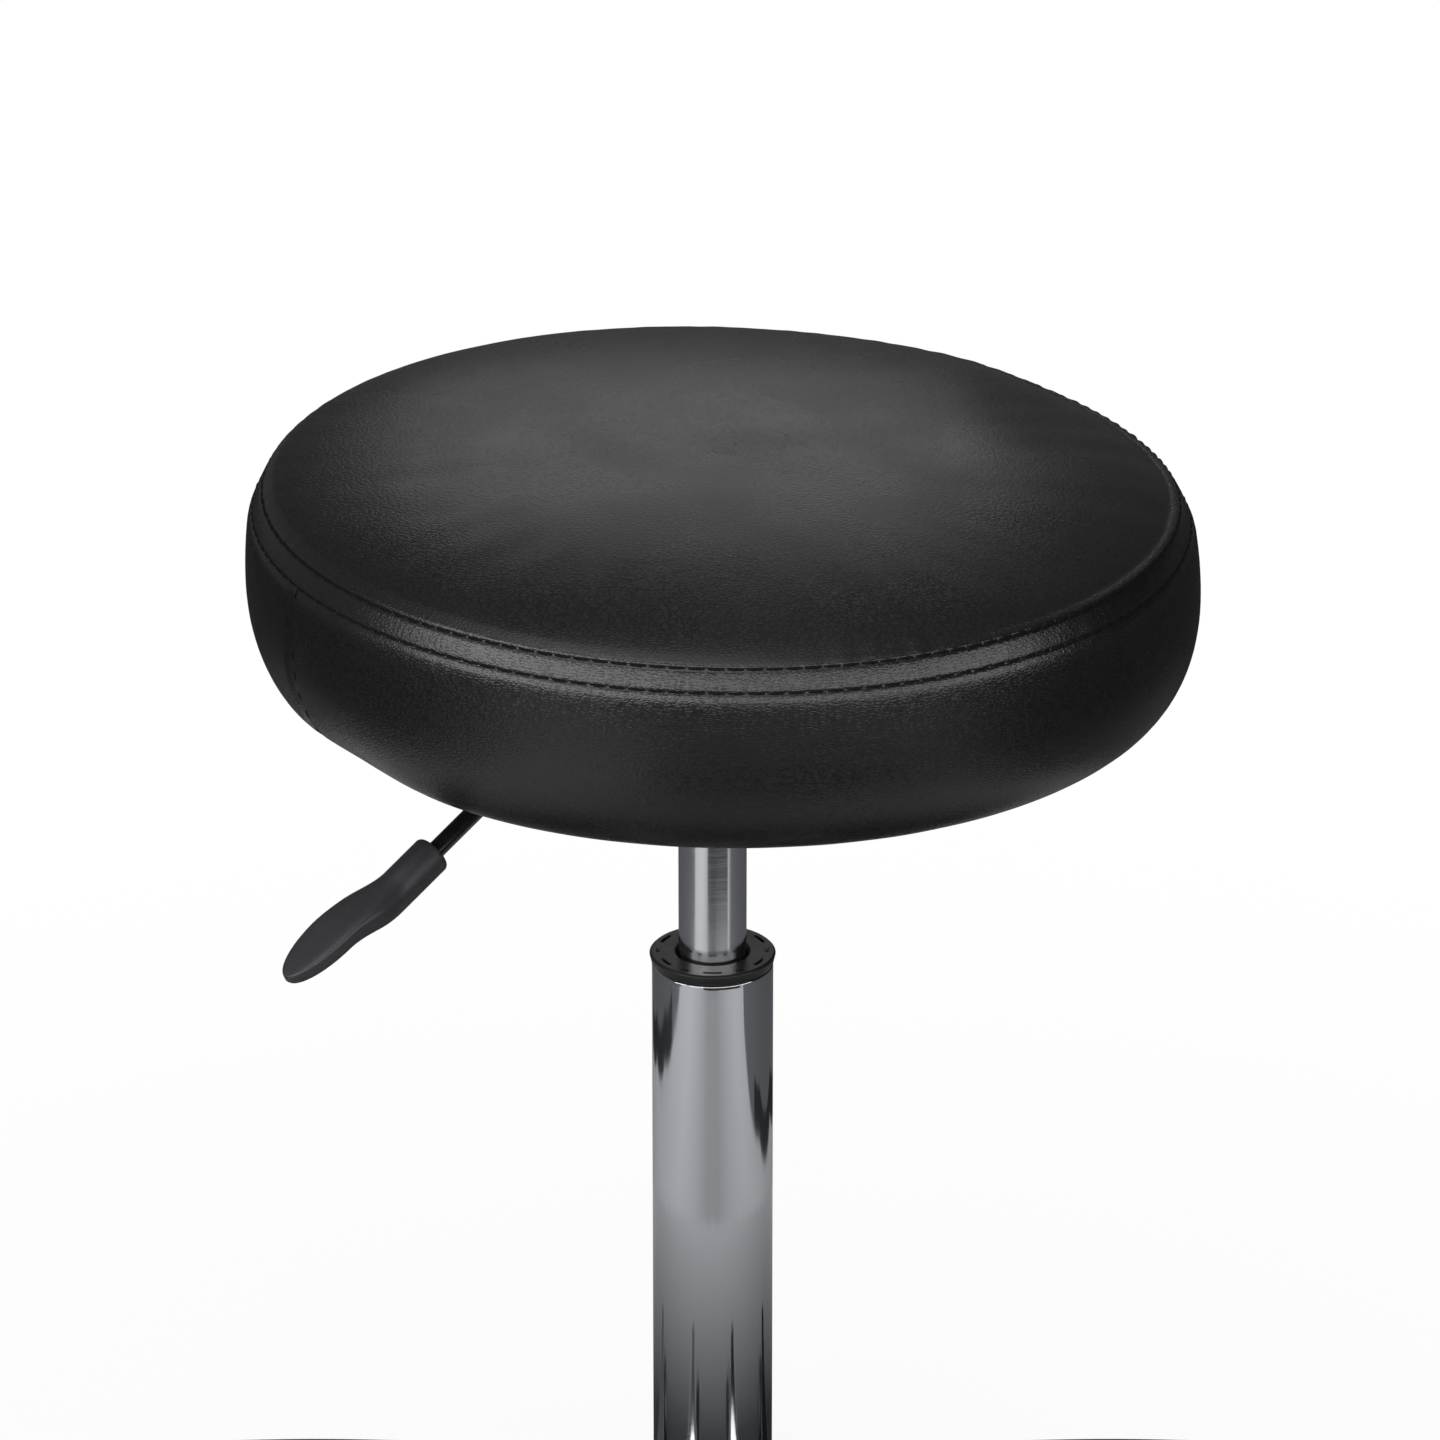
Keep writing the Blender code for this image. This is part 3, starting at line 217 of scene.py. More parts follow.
# centreless-ground steel tube: satin, with fine rings round it, drawn coarser than real so that they show
grindRings = ((0.02, 0.02, 0.0006), 3.0)
steelLook = {"face": "cfd0d2", "tone": grindRings, "spread": (0.3, 0.7), "dull": (0.12, 0.19),
             "grain": grindRings, "bump": (0.5, 0.000003)}
# bright zinc on turned or pressed steel: grey, soft and slightly cloudy
zincCloud = (0.0015, 3.0)
zincLook = {"face": "a4a7aa", "tone": zincCloud, "spread": (0.3, 0.7), "dull": (0.28, 0.42),
            "grain": zincCloud, "bump": (0.4, 0.00001)}
# polyester powder, baked on pressed steel: satin black with an orange-peel skin
powderLook = {"face": "1b1b1d", "tone": (0.0014, 2.0), "dull": (0.42, 0.56), "bump": (0.5, 0.00005)}
# dipped gloss enamel on wire rod: deep black with a clean bright line of light
enamelLook = {"face": "0f0f10", "tone": (0.004, 2.0), "dull": (0.16, 0.30), "bump": (0.3, 0.00002)}
# acetal, moulded in a polished tool: shiny black with slow sink ripples
bushLook = {"face": "101011", "tone": (0.006, 3.0), "dull": (0.34, 0.44), "bump": (0.4, 0.000005)}
# polypropylene, moulded in a spark-eroded tool: matt charcoal with a sandy bloom
gripLook = {"face": "2c2c2f", "under": "232325", "tone": (0.0005, 3.0), "spread": (0.35, 0.65),
            "dull": (0.36, 0.44), "bump": (0.6, 0.00004)}
# nylon, moulded: satin black, paler in scuffed patches
nylonLook = {"face": "262628", "under": "1c1c1e", "tone": (0.012, 5.0), "spread": (0.5, 0.75),
             "dull": (0.38, 0.55), "grain": (0.0012, 2.0), "bump": (0.5, 0.00003)}
# nitrile rubber, press moulded: dead matt with a grey bloom
rubberLook = {"face": "1f1f1f", "under": "151515", "tone": (0.006, 4.0)}
# peeled beech plywood, raw: pale brown with long wandering figure
plyLook = {"face": "b9925f", "under": "8f6a3e", "tone": ((0.006, 1 / 6, 0.0024), 4.0, 0.6)}

metal = {"Metallic": 1.0}
leather = puLeather()
thread = noiseMaterial("polyesterThreadTwisted", threadLook,
                       {"Roughness": 0.75, "Specular IOR Level": 0.12})
chrome = noiseMaterial("chromePlatePolished", chromeLook, metal)
steel = noiseMaterial("steelGroundSatin", steelLook, metal)
zinc = noiseMaterial("zincPlateBright", zincLook, metal)
powder = noiseMaterial("powderCoatBaked", powderLook, {})
enamel = noiseMaterial("enamelDippedGloss", enamelLook, {"Coat Weight": 0.6, "Coat Roughness": 0.08})
acetal = noiseMaterial("acetalMouldedPolished", bushLook, {})
grip = noiseMaterial("polypropyleneEroded", gripLook, {"Specular IOR Level": 0.4})
nylon = noiseMaterial("nylonMouldedSatin", nylonLook, {})
rubber = noiseMaterial("nitrileRubberMoulded", rubberLook, {"Roughness": 0.85})
plywood = noiseMaterial("beechPlywoodRaw", plyLook, {"Roughness": 0.7})
spunbond = spunbondCloth()
print("materials made")


# mesh helpers

def linked(name, data):
    item = bpy.data.objects.new(name, data)
    scene.collection.objects.link(item)
    return item


def newPiece(name, mesh, material, body, stands=(), sharpAngle=38):
    piece = linked(name, mesh)
    mesh.materials.clear()
    mesh.materials.append(material)
    mesh.shade_smooth()
    mesh.set_sharp_from_angle(angle=math.radians(sharpAngle))
    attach(piece, body)
    if stands:
        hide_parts(*stands)
    return piece


def bakedMesh(item):
    graph = bpy.context.evaluated_depsgraph_get()
    mesh = bpy.data.meshes.new_from_object(item.evaluated_get(graph))
    bpy.data.objects.remove(item, do_unlink=True)
    return mesh


weldDistance = 0.000002


def tidied(mesh):
    shape = bmesh.new()
    shape.from_mesh(mesh)
    bmesh.ops.remove_doubles(shape, verts=shape.verts, dist=weldDistance)
    bmesh.ops.recalc_face_normals(shape, faces=shape.faces)
    shape.to_mesh(mesh)
    shape.free()
    return mesh


# a round wire along a line of points; its first end may be thinner
def wireMesh(name, line, radius, resolution, endShare=1.0):
    curve = bpy.data.curves.new(name, "CURVE")
    curve.dimensions = "3D"
    curve.bevel_depth = radius
    curve.bevel_resolution = resolution
    curve.use_fill_caps = True
    spline = curve.splines.new("POLY")
    spline.points.add(len(line) - 1)
    for point, place in zip(spline.points, line):
        point.co = (*place, 1)
    spline.points[0].radius = endShare
    return tidied(bakedMesh(linked(name, curve)))


# a surface given the thickness of its sheet
def thickened(mesh, thickness, offset, even=False):
    item = linked("sheet", mesh)
    sheet = item.modifiers.new("sheet", "SOLIDIFY")
    sheet.thickness = thickness
    sheet.offset = offset
    sheet.use_even_offset = even
    return bakedMesh(item)


def joinedMesh(name, *meshes):
    shape = bmesh.new()
    for mesh in meshes:
        shape.from_mesh(mesh)
        bpy.data.meshes.remove(mesh)
    joined = bpy.data.meshes.new(name)
    shape.to_mesh(joined)
    shape.free()
    return joined


# quads between rows of points; each row is closed on itself, and rows may be capped by a fan
def loftMesh(name, rows, capStart=True, capEnd=True):
    rows = np.asarray(rows, float)
    count, around = rows.shape[:2]
    points = rows.reshape(-1, 3).tolist()
    faces = []
    for i in range(count - 1):
        for j in range(around):
            k = (j + 1) % around
            faces.append((i * around + j, (i + 1) * around + j, (i + 1) * around + k, i * around + k))
    if capStart:
        points.append(rows[0].mean(0).tolist())
        faces += [(len(points) - 1, j, (j + 1) % around) for j in range(around)]
    if capEnd:
        points.append(rows[-1].mean(0).tolist())
        last = (count - 1) * around
        faces += [(last + j, len(points) - 1, last + (j + 1) % around) for j in range(around)]
    mesh = bpy.data.meshes.new(name)
    mesh.from_pydata(points, [], faces)
    return mesh


# rounds the corners of an open or closed outline, each by the same radius where the sides allow it
def rounded(outline, radius, steps=4, closed=True, most=0.49):
    result = []
    count = len(outline)
    for i, corner in enumerate(outline):
        here = Vector(corner)
        if not closed and i in (0, count - 1):
            result.append(tuple(here))
            continue
        before = Vector(outline[i - 1]) - here
        after = Vector(outline[(i + 1) % count]) - here
        turn = before.angle(after)
        reach = min(radius / math.tan(turn / 2), before.length * most, after.length * most)
        start = here + before.normalized() * reach
        end = here + after.normalized() * reach
        for k in range(steps + 1):
            t = k / steps
            result.append(tuple(start * (1 - t) ** 2 + here * 2 * t * (1 - t) + end * t ** 2))
    return result


# a profile of (radius, height) turned round Z; a closed profile makes a ring
def turnedMesh(name, profile, sides, closed=True):
    angles = np.arange(sides) * 2 * math.pi / sides
    rows = [[(r * math.cos(a), r * math.sin(a), z) for a in angles] for r, z in profile]
    if closed:
        rows.append(rows[0])
        return tidied(loftMesh(name, rows, False, False))
    return tidied(loftMesh(name, rows))


# a merged copy of a CAD node, with its edges softened
def softenedCopy(nodeName, edge, steps=2, edgeAngle=30, flatAngle=0.5):
    mesh = nodes[nodeName].data.copy()
    for layer in list(mesh.attributes):
        if layer.name == "custom_normal":
            mesh.attributes.remove(layer)
    shape = bmesh.new()
    shape.from_mesh(mesh)
    bmesh.ops.remove_doubles(shape, verts=shape.verts, dist=weldDistance)
    flat = math.radians(flatAngle)
    bmesh.ops.dissolve_limit(shape, angle_limit=flat, verts=shape.verts, edges=shape.edges)
    shape.to_mesh(mesh)
    shape.free()
    item = linked("softening", mesh)
    bevel = item.modifiers.new("softEdge", "BEVEL")
    bevel.width = edge
    bevel.segments = steps
    bevel.limit_method = "ANGLE"
    bevel.angle_limit = math.radians(edgeAngle)
    bevel.harden_normals = True
    mesh.shade_smooth()
    mesh.set_sharp_from_angle(angle=math.radians(edgeAngle))
    return bakedMesh(item)


def movedCopy(source, move):
    mesh = source.copy()
    mesh.transform(move)
    return mesh


def camel(nodeName):
    first, *rest = nodeName.split("_")
    return first + "".join(word.capitalize() for word in rest)


slots = {item["node"]: item["material_slot"] for item in frame["record"]["subparts"]}
bodies = frame["record"]["behaviour"]["bodies"]
bodyOf = {node: body for body, members in bodies.items() for node in members}


# a piece that stands for one solid and takes its name and body from the record
def standIn(nodeName, mesh, material):
    newPiece(camel(nodeName), mesh, material, bodyOf[nodeName], (nodeName,))


# seat cover: a crowned top sewn to a bulging band that is drawn in under the board

seatShape = {
    "around": 620,           # four steps to a stitch
    "simAround": 200,
    "seamRise": 0.0820,      # seam above the seat's lowest point
    "seamInset": 0.0079,
    "crownSpread": 2.6, "crownFullness": 1.6,
    "bellyRise": 0.0450, "edgeFullness": 0.78,
    "wallLean": 0.33,        # lean of the band just below the strip, as a share of the strip's
    "turn": 0.0050,          # over which the lean changes
    "hem": 0.0120, "hemHeld": 0.98, "cover": 0.0012, "fit": 0.0003,
    "swellCap": 0.0080,      # the furthest that the foam pushes the cover
    "unevenness": 0.00012,   # of the foam, before it is filled
    "foldShare": 0.22,       # of the simulated folds; the drawn line keeps the rest
    "foldWaves": 40,         # shorter waves than this many round the seat are left out
    "calm": (0.06, 0.13),    # radius up to which the crown is smooth, and from which the folds are full
    # the cushion sits lower on its right, by these degrees at the crown, the seam and the foot
    "leanTop": 1.75, "lean": 1.0, "leanLow": 0.9, "leanTurn": 0.006, "leanEnd": 0.14,
    "shift": 0.0035, "shiftLow": 0.0050, "shiftFull": 0.6, "sag": 0.0014, "sagStart": 0.35,
    # at the back on the right it drops: from this x and y, over these lengths
    "cornerDrop": 0.0020, "cornerFrom": (0.095, -0.020), "cornerOver": (0.05, 0.10),
    "cornerFade": (0.030, 0.020),
    "stitches": 155,
    "rowGap": 0.0095,        # between the two rows of stitches
    # depth between the holes and how much more at them, and the width of each sunk line
    "grooveDepth": (0.000375, 0.0002), "grooveWidth": 0.0009,
    "rowDepth": (0.00018, 0.00021), "rowWidth": 0.0007,
    "stripSwell": 0.0002,
    "pucker": 0.00012, "puckerReach": 0.010, "puckerBand": 0.7, "patchShare": 0.4, "puckerSlant": 1.1,
    "puckerMiddle": -0.004, "puckerWidth": 0.020,
    "slowRise": 0.0005,      # slow unevenness of the foam
    "joinAngle": 207.0, "joinGap": 0.0052, "joinDepth": 0.0011, "joinWidth": 0.0018, "joinStart": 0.004,
    "joinDent": 0.0040, "dentReach": 0.034, "dentPlace": 0.028, "dentLow": 0.9,
    "pleats": 84, "pleatDepth": 0.0006, "pleatEnd": 0.08, "pleatStray": 1.5,
    "seed": 11,
    "centre": 0.004,         # radius of the first row
    "lineSteps": (2000, 800), "simRows": (34, 24),
    # rows lie closer near the sewing
    "crownZones": (0.026, 0.0035), "crownCounts": (38, 20, 12), "bandZone": 0.0130, "bandCounts": (40, 33, 9),
    # seeded waves: lowest and highest number round the seat, and how many of them
    "puckerWaves": (70, 150, 14), "puckerPatches": (3, 9, 5), "slowWaves": (2, 7, 6),
    "pleatWaves": (3, 11, 5),
}
clothSettings = {
    "quality": 6, "mass": 0.3, "tension_stiffness": 20, "compression_stiffness": 20, "shear_stiffness": 8,
    "bending_stiffness": 2, "use_pressure": True, "uniform_pressure_force": 4.0,
}
clothSteps = 20
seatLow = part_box("side_band")[0].z
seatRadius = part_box("side_band")[1].x
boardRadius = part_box("seat_board")[1].x


def eased(share):
    share = np.clip(share, 0, 1)
    return share * share * (3 - 2 * share)


def crownLine(count):
    look = seatShape
    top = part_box("top_panel")[1].z
    rise = top - seatLow - look["seamRise"]
    angle = np.linspace(0, math.pi / 2, count)
    radius = (seatRadius - look["seamInset"]) * np.sin(angle) ** (2 / look["crownSpread"])
    height = rise * np.cos(angle).clip(0) ** (2 / look["crownFullness"])
    return np.stack([radius, seatLow + look["seamRise"] + height], 1)


def bandLine(count):
    look = seatShape
    depth = np.linspace(0, look["seamRise"] - look["bellyRise"], count)
    turned = eased((depth - look["rowGap"]) / look["turn"])
    wall = look["wallLean"] * (depth[-1] - depth) / (depth[-1] - look["rowGap"])
    outward = np.append(0, np.cumsum(1 + (wall - 1) * turned)[:-1])
    upperRadius = seatRadius - look["seamInset"] * (1 - outward / outward[-1])
    upperHeight = seatLow + look["seamRise"] - depth
    lower = np.linspace(0, math.pi / 2, count)[1:]
    reach = np.cos(lower).clip(0) ** look["edgeFullness"]
    lowerRadius = boardRadius + (seatRadius - boardRadius) * reach
    lowerHeight = seatLow + look["bellyRise"] * (1 - np.sin(lower))
    hem = np.array([[boardRadius - look["hem"], seatLow]])
    line = np.stack([np.append(upperRadius, lowerRadius), np.append(upperHeight, lowerHeight)], 1)
    return np.concatenate([line, hem])


# under the hem the cover turns up round the board and closes above it
def insideLine():
    look = seatShape
    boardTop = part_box("seat_board")[1].z
    level = seatLow + look["cover"]
    clear = boardRadius + look["fit"]
    return np.array([[boardRadius - look["hem"], level], [clear, level], [clear, boardTop + look["fit"]]])


# places along a line, zone by zone, each zone with its own count
def zonedPlaces(ends, counts):
    zones = [np.linspace(first, last, count)[:-1] for first, last, count in zip(ends, ends[1:], counts)]
    return np.append(np.concatenate(zones), ends[-1])


def lengthsAlong(line):
    return np.append(0, np.cumsum(np.linalg.norm(np.diff(line, axis=0), axis=1)))


def pointsAlong(line, places):
    lengths = lengthsAlong(line)
    return np.stack([np.interp(places, lengths, line[:, 0]), np.interp(places, lengths, line[:, 1])], 1)


# natural cubic spline through rows of numbers
def splineRows(places, rows, wanted):
    count = len(places)
    gaps = np.diff(places)
    system = np.eye(count)
    right = np.zeros_like(rows)
    for i in range(1, count - 1):
        system[i, i - 1:i + 2] = gaps[i - 1], 2 * (gaps[i - 1] + gaps[i]), gaps[i]
        right[i] = 6 * ((rows[i + 1] - rows[i]) / gaps[i] - (rows[i] - rows[i - 1]) / gaps[i - 1])
    bends = np.linalg.solve(system, right)
    index = np.clip(np.searchsorted(places, wanted, side="right") - 1, 0, count - 2)
    gap = gaps[index][:, None]
    after = (wanted - places[index])[:, None] / gap
    before = 1 - after
    bow = (before ** 3 - before) * bends[index] + (after ** 3 - after) * bends[index + 1]
    return before * rows[index] + after * rows[index + 1] + bow * gap ** 2 / 6


# more points round a closed ring, by its own waves
def finerRing(values, around):
    waves = np.fft.rfft(values, axis=1)
    return np.fft.irfft(waves, around, axis=1) * around / values.shape[1]


def ringPoints(line, around):
    angles = np.arange(around) * 2 * math.pi / around
    ring = np.stack([np.cos(angles), np.sin(angles)], 1)
    flat = line[:, None, :1] * ring[None]
    height = np.broadcast_to(line[:, None, 1:], (len(line), around, 1))
    return np.concatenate([flat, height], 2)


tiny = 1e-12


# the pressure of the foam fills the panels between the sewn lines
def swollenRows(rows, held):
    mesh = loftMesh("seatSwelling", rows)
    item = linked("seatSwelling", mesh)
    around = rows.shape[1]
    group = item.vertex_groups.new(name="sewn")
    fixed = [i * around + j for i in held for j in range(around)] + [len(mesh.vertices) - 1]
    group.add(fixed, 1.0, "REPLACE")
    cloth = item.modifiers.new("swelling", "CLOTH")
    for name, value in clothSettings.items():
        setattr(cloth.settings, name, value)
    cloth.settings.effector_weights.gravity = 0
    cloth.settings.vertex_group_mass = "sewn"
    cloth.point_cache.frame_end = clothSteps
    for step in range(1, clothSteps + 1):
        scene.frame_set(step)
    graph = bpy.context.evaluated_depsgraph_get()
    moved = np.array([v.co for v in item.evaluated_get(graph).data.vertices])
    scene.frame_set(1)
    bpy.data.objects.remove(item, do_unlink=True)
    moved = moved[:rows.size // 3].reshape(rows.shape)
    step = moved - rows
    far = np.linalg.norm(step, axis=2, keepdims=True)
    return rows + step * np.minimum(1, seatShape["swellCap"] / np.maximum(far, tiny))


def surfaceNormals(rows):
    down = np.gradient(rows, axis=0)
    along = np.roll(rows, -1, axis=1) - np.roll(rows, 1, axis=1)
    normal = np.cross(down, along)
    return normal / np.maximum(np.linalg.norm(normal, axis=2, keepdims=True), tiny)


def bell(distance, width):
    return np.exp(-(distance / width) ** 2)


def seatCoverRows():
    look = seatShape
    crown = crownLine(look["lineSteps"][0])
    band = bandLine(look["lineSteps"][1])
    crownLength = lengthsAlong(crown)[-1]
    bandLength = lengthsAlong(band)[-1]
    # coarse rows for the simulation
    crownPlaces = np.linspace(look["centre"], crownLength, look["simRows"][0])
    bandPlaces = np.linspace(0, bandLength, look["simRows"][1])[1:]
    crownRows = pointsAlong(crown, crownPlaces)
    bandRows = pointsAlong(band, bandPlaces)
    target = ringPoints(np.concatenate([crownRows, bandRows, insideLine()]), look["simAround"])
    seamRow = len(crownRows) - 1
    hemRow = seamRow + len(bandRows)
    hemStart = bandLength - look["hem"]
    fixed = hemStart * look["hemHeld"]
    held = [seamRow] + [seamRow + 1 + i for i, place in enumerate(bandPlaces) if place >= fixed]
    held += list(range(hemRow + 1, len(target)))
    full = target
    # the folds come from the simulation, the average line of each ring from the drawing
    normals = surfaceNormals(target)
    uneven = np.random.default_rng(look["seed"]).normal(0, look["unevenness"], target.shape[:2])
    uneven[held] = 0
    moved = swollenRows(target + normals * uneven[:, :, None], held)
    gain = ((moved - target) * normals).sum(2)
    waves = np.fft.rfft(gain, axis=1)
    waves[:, 0] = 0
    waves[:, look["foldWaves"]:] = 0
    inner, outer = look["calm"]
    share = np.clip((np.hypot(target[:, :, 0], target[:, :, 1]) - inner) / (outer - inner), 0, 1)
    fold = look["foldShare"] * share ** 2 * np.fft.irfft(waves, look["simAround"], axis=1)
    full = target + normals * fold[:, :, None]
    print("seat swollen by", round(1000 * float(gain.max()), 2), "mm, folds up to",
          round(1000 * float(np.abs(fold).max()), 2), "mm")
    # fine rows, close together at the sewing
    far, near = look["crownZones"]
    crownEnds = (look["centre"], crownLength - far, crownLength - near, crownLength)
    fineCrown = zonedPlaces(crownEnds, look["crownCounts"])
    fineBand = zonedPlaces((0, look["bandZone"], hemStart, bandLength), look["bandCounts"])[1:]
    folds = finerRing(full - target, look["around"]).reshape(len(target), -1)
    upper = splineRows(crownPlaces, folds[:seamRow + 1], fineCrown)
    lower = splineRows(np.append(0, bandPlaces), folds[seamRow:hemRow + 1], fineBand)
    line = np.concatenate([pointsAlong(crown, fineCrown), pointsAlong(band, fineBand), insideLine()])
    rows = ringPoints(line, look["around"])
    rows += np.concatenate([upper, lower, folds[hemRow + 1:]]).reshape(-1, look["around"], 3)
    return rows, fineCrown - crownLength, fineBand, hemStart


# seeded waves round the seat, the same each run
def wavesRound(random, angles, lowest, highest, count):
    total = np.zeros_like(angles)
    for n in random.integers(lowest, highest, count):
        total += random.normal() * np.cos(n * angles + random.uniform(0, 2 * math.pi))
    return total / math.sqrt(count / 2)


def sewnSeat():
    look = seatShape
    rows, crownPlaces, bandPlaces, hemStart = seatCoverRows()
    random = np.random.default_rng(look["seed"])
    around = look["around"]
    angles = np.arange(around) * 2 * math.pi / around
    inside = np.full(len(rows) - len(crownPlaces) - len(bandPlaces), 1.0)
    places = np.concatenate([crownPlaces, bandPlaces, inside])
    fromSeam = places[:, None]
    onCrown = (fromSeam <= 0) * 1.0
    onBand = (fromSeam > 0) * (fromSeam < hemStart) * 1.0
    phase = angles * look["stitches"]
    atHole = 0.5 - 0.5 * np.cos(phase)[None]
    # the join, and the row of stitches below it
    least, more = look["grooveDepth"]
    rise = -bell(fromSeam, look["grooveWidth"]) * (least + more * atHole)
    least, more = look["rowDepth"]
    rise -= bell(fromSeam - look["rowGap"], look["rowWidth"]) * (least + more * atHole)
    inStrip = (fromSeam > 0) & (fromSeam < look["rowGap"])
    rise = rise + look["stripSwell"] * (inStrip * np.sin(math.pi * fromSeam / look["rowGap"]).clip(0))
    # puckers that fade away from the sewing
    reach = look["puckerReach"]
    fade = onCrown * np.exp(fromSeam / reach)
    fade = fade + onBand * np.exp(-np.abs(fromSeam - look["rowGap"]) / (look["puckerBand"] * reach))
    slant = angles[None] + fromSeam * look["puckerSlant"]
    fine = wavesRound(random, slant, *look["puckerWaves"])
    patches = wavesRound(random, angles, *look["puckerPatches"])[None]
    fine = fine * (1 + look["patchShare"] * (patches - 1))
    rise = rise + look["pucker"] * fade * fine * bell(fromSeam - look["puckerMiddle"], look["puckerWidth"])
    radius = np.hypot(rows[:, :, 0], rows[:, :, 1])
    slow = wavesRound(random, angles, *look["slowWaves"])[None]
    rise = rise + look["slowRise"] * (slow * np.sin(math.pi * (radius / radius.max()) ** 2))
    # upright join of the band's ends
    joinAngle = math.radians(look["joinAngle"])
    across = ((angles - joinAngle + math.pi) % (2 * math.pi) - math.pi)[None] * radius
    outside = fromSeam < 0.5
    below = np.clip((fromSeam - look["rowGap"]) / look["joinStart"], 0, 1) * outside
    rise = rise - look["joinDepth"] * below * bell(across, look["joinWidth"])
    dent = bell(across - look["dentPlace"], look["dentReach"])
    rise = rise - look["joinDent"] * below * (dent * np.clip(2 * fromSeam / hemStart - look["dentLow"], 0, 1))
    # pleats where the hem is drawn in and stapled
    pleatLength = look["pleatEnd"] * hemStart
    drawn = np.clip((fromSeam - hemStart + pleatLength) / pleatLength, 0, 1) * outside
    stray = look["pleatStray"] * wavesRound(random, angles, *look["pleatWaves"])
    gather = np.cos(look["pleats"] * angles + stray)[None]
    rise = rise - look["pleatDepth"] * drawn * (0.5 + 0.5 * gather)
    rows = rows + surfaceNormals(rows) * rise[:, :, None]
    # the cushion leans and bulges to its right, but keeps its place on the board
    weight = np.clip((1.0 - fromSeam / hemStart) / look["leanEnd"], 0, 1)
    down = np.clip(fromSeam / (look["shiftFull"] * hemStart), 0, 1)
    up = np.clip(-fromSeam / look["leanTurn"], 0, 1)
    lean = look["lean"] + (look["leanLow"] - look["lean"]) * down + (look["leanTop"] - look["lean"]) * up
    lean = np.radians(lean)
    low = np.clip((fromSeam / hemStart - look["sagStart"]) / (1 - look["sagStart"]), 0, 1)
    rows[:, :, 2] -= np.tan(lean) * rows[:, :, 0] * weight + look["sag"] * np.sin(math.pi * low)
    corner = eased((rows[:, :, :2] - look["cornerFrom"]) / look["cornerOver"]).prod(2)
    fadeEnd, fadeOver = look["cornerFade"]
    rows[:, :, 2] -= look["cornerDrop"] * corner * np.clip((fadeEnd - fromSeam) / fadeOver, 0, 1)
    rows[:, :, 0] += (look["shift"] + (look["shiftLow"] - look["shift"]) * down) * weight
    seamRow = len(crownPlaces) - 1
    lowerRow = seamRow + 1 + int(np.argmin(np.abs(bandPlaces - look["rowGap"])))
    return rows, surfaceNormals(rows), seamRow, lowerRow, bandPlaces, places


def seatCoverMesh(rows, places):
    mesh = loftMesh("seatCover", rows)
    angles = np.arange(rows.shape[1]) * 2 * math.pi / rows.shape[1]
    sewn = np.zeros((len(mesh.vertices), 3), np.float32)
    sewn[:, 2] = 1
    grid = sewn[:rows.size // 3].reshape(rows.shape)
    grid[:, :, 0] = np.cos(angles)
    grid[:, :, 1] = np.sin(angles)
    grid[:, :, 2] = places[:, None]
    mesh.attributes.new("sewn", "FLOAT_VECTOR", "POINT").data.foreach_set("vector", sewn.ravel())
    return mesh


coverRows, coverNormals, seamRow, lowerRow, bandPlaces, coverPlaces = sewnSeat()
seatCover = newPiece("seatCover", seatCoverMesh(coverRows, coverPlaces), leather, "seat",
                     ("top_panel", "side_band", "seat_foam"), 60)
print("seat cover:", len(seatCover.data.polygons), "faces")


# threads and staples, laid along a path by one node tree

def wireRowTree():
    tree = bpy.data.node_groups.new("wireRow", "GeometryNodeTree")
    tree.is_modifier = True
    kinds = {"Path": "Geometry", "Count": "Int", "Length": "Float", "Radius": "Float", "Sink": "Float",
             "Rise": "Float", "Finish": "Material"}
    sockets = {}
    for name, kind in kinds.items():
        socket = tree.interface.new_socket(name, in_out="INPUT", socket_type="NodeSocket" + kind)
        sockets[name] = socket.identifier
    tree.interface.new_socket("Wires", in_out="OUTPUT", socket_type="NodeSocketGeometry")
    given = addNode(tree, "NodeGroupInput").outputs
    line = outOf(tree, "GeometryNodeMeshToCurve", links={"Mesh": given["Path"]})
    spaced = outOf(tree, "GeometryNodeResampleCurve", links={"Curve": line, "Count": given["Count"]},
                   mode="COUNT")
    outward = outOf(tree, "GeometryNodeInputNamedAttribute", {"Name": "outward"}, data_type="FLOAT_VECTOR")
    heading = outOf(tree, "GeometryNodeInputTangent")
    upright = outOf(tree, "FunctionNodeAlignRotationToVector", links={"Vector": outward}, axis="Z")
    turned = outOf(tree, "FunctionNodeAlignRotationToVector", links={"Rotation": upright, "Vector": heading},
                   axis="X", pivot_axis="Z")
    back, fore = (outOf(tree, "ShaderNodeCombineXYZ", links={
        "X": maths(tree, "MULTIPLY", given["Length"], half), "Z": given["Sink"]}) for half in (-0.5, 0.5))
    over = outOf(tree, "ShaderNodeCombineXYZ", links={"Z": given["Rise"]})
    bow = outOf(tree, "GeometryNodeCurveQuadraticBezier", {"Resolution": 6},
                {"Start": back, "Middle": over, "End": fore})
    section = outOf(tree, "GeometryNodeCurvePrimitiveCircle", {"Resolution": 6}, {"Radius": given["Radius"]})
    wire = outOf(tree, "GeometryNodeCurveToMesh", {"Fill Caps": True},
                 {"Curve": bow, "Profile Curve": section})
    laid = outOf(tree, "GeometryNodeInstanceOnPoints",
                 links={"Points": spaced, "Instance": wire, "Rotation": turned})
    real = outOf(tree, "GeometryNodeRealizeInstances", links={"Geometry": laid})
    finished = outOf(tree, "GeometryNodeSetMaterial", links={"Geometry": real, "Material": given["Finish"]})
    addNode(tree, "NodeGroupOutput", links={0: finished})
    return tree, sockets


wireRow, wireSockets = wireRowTree()


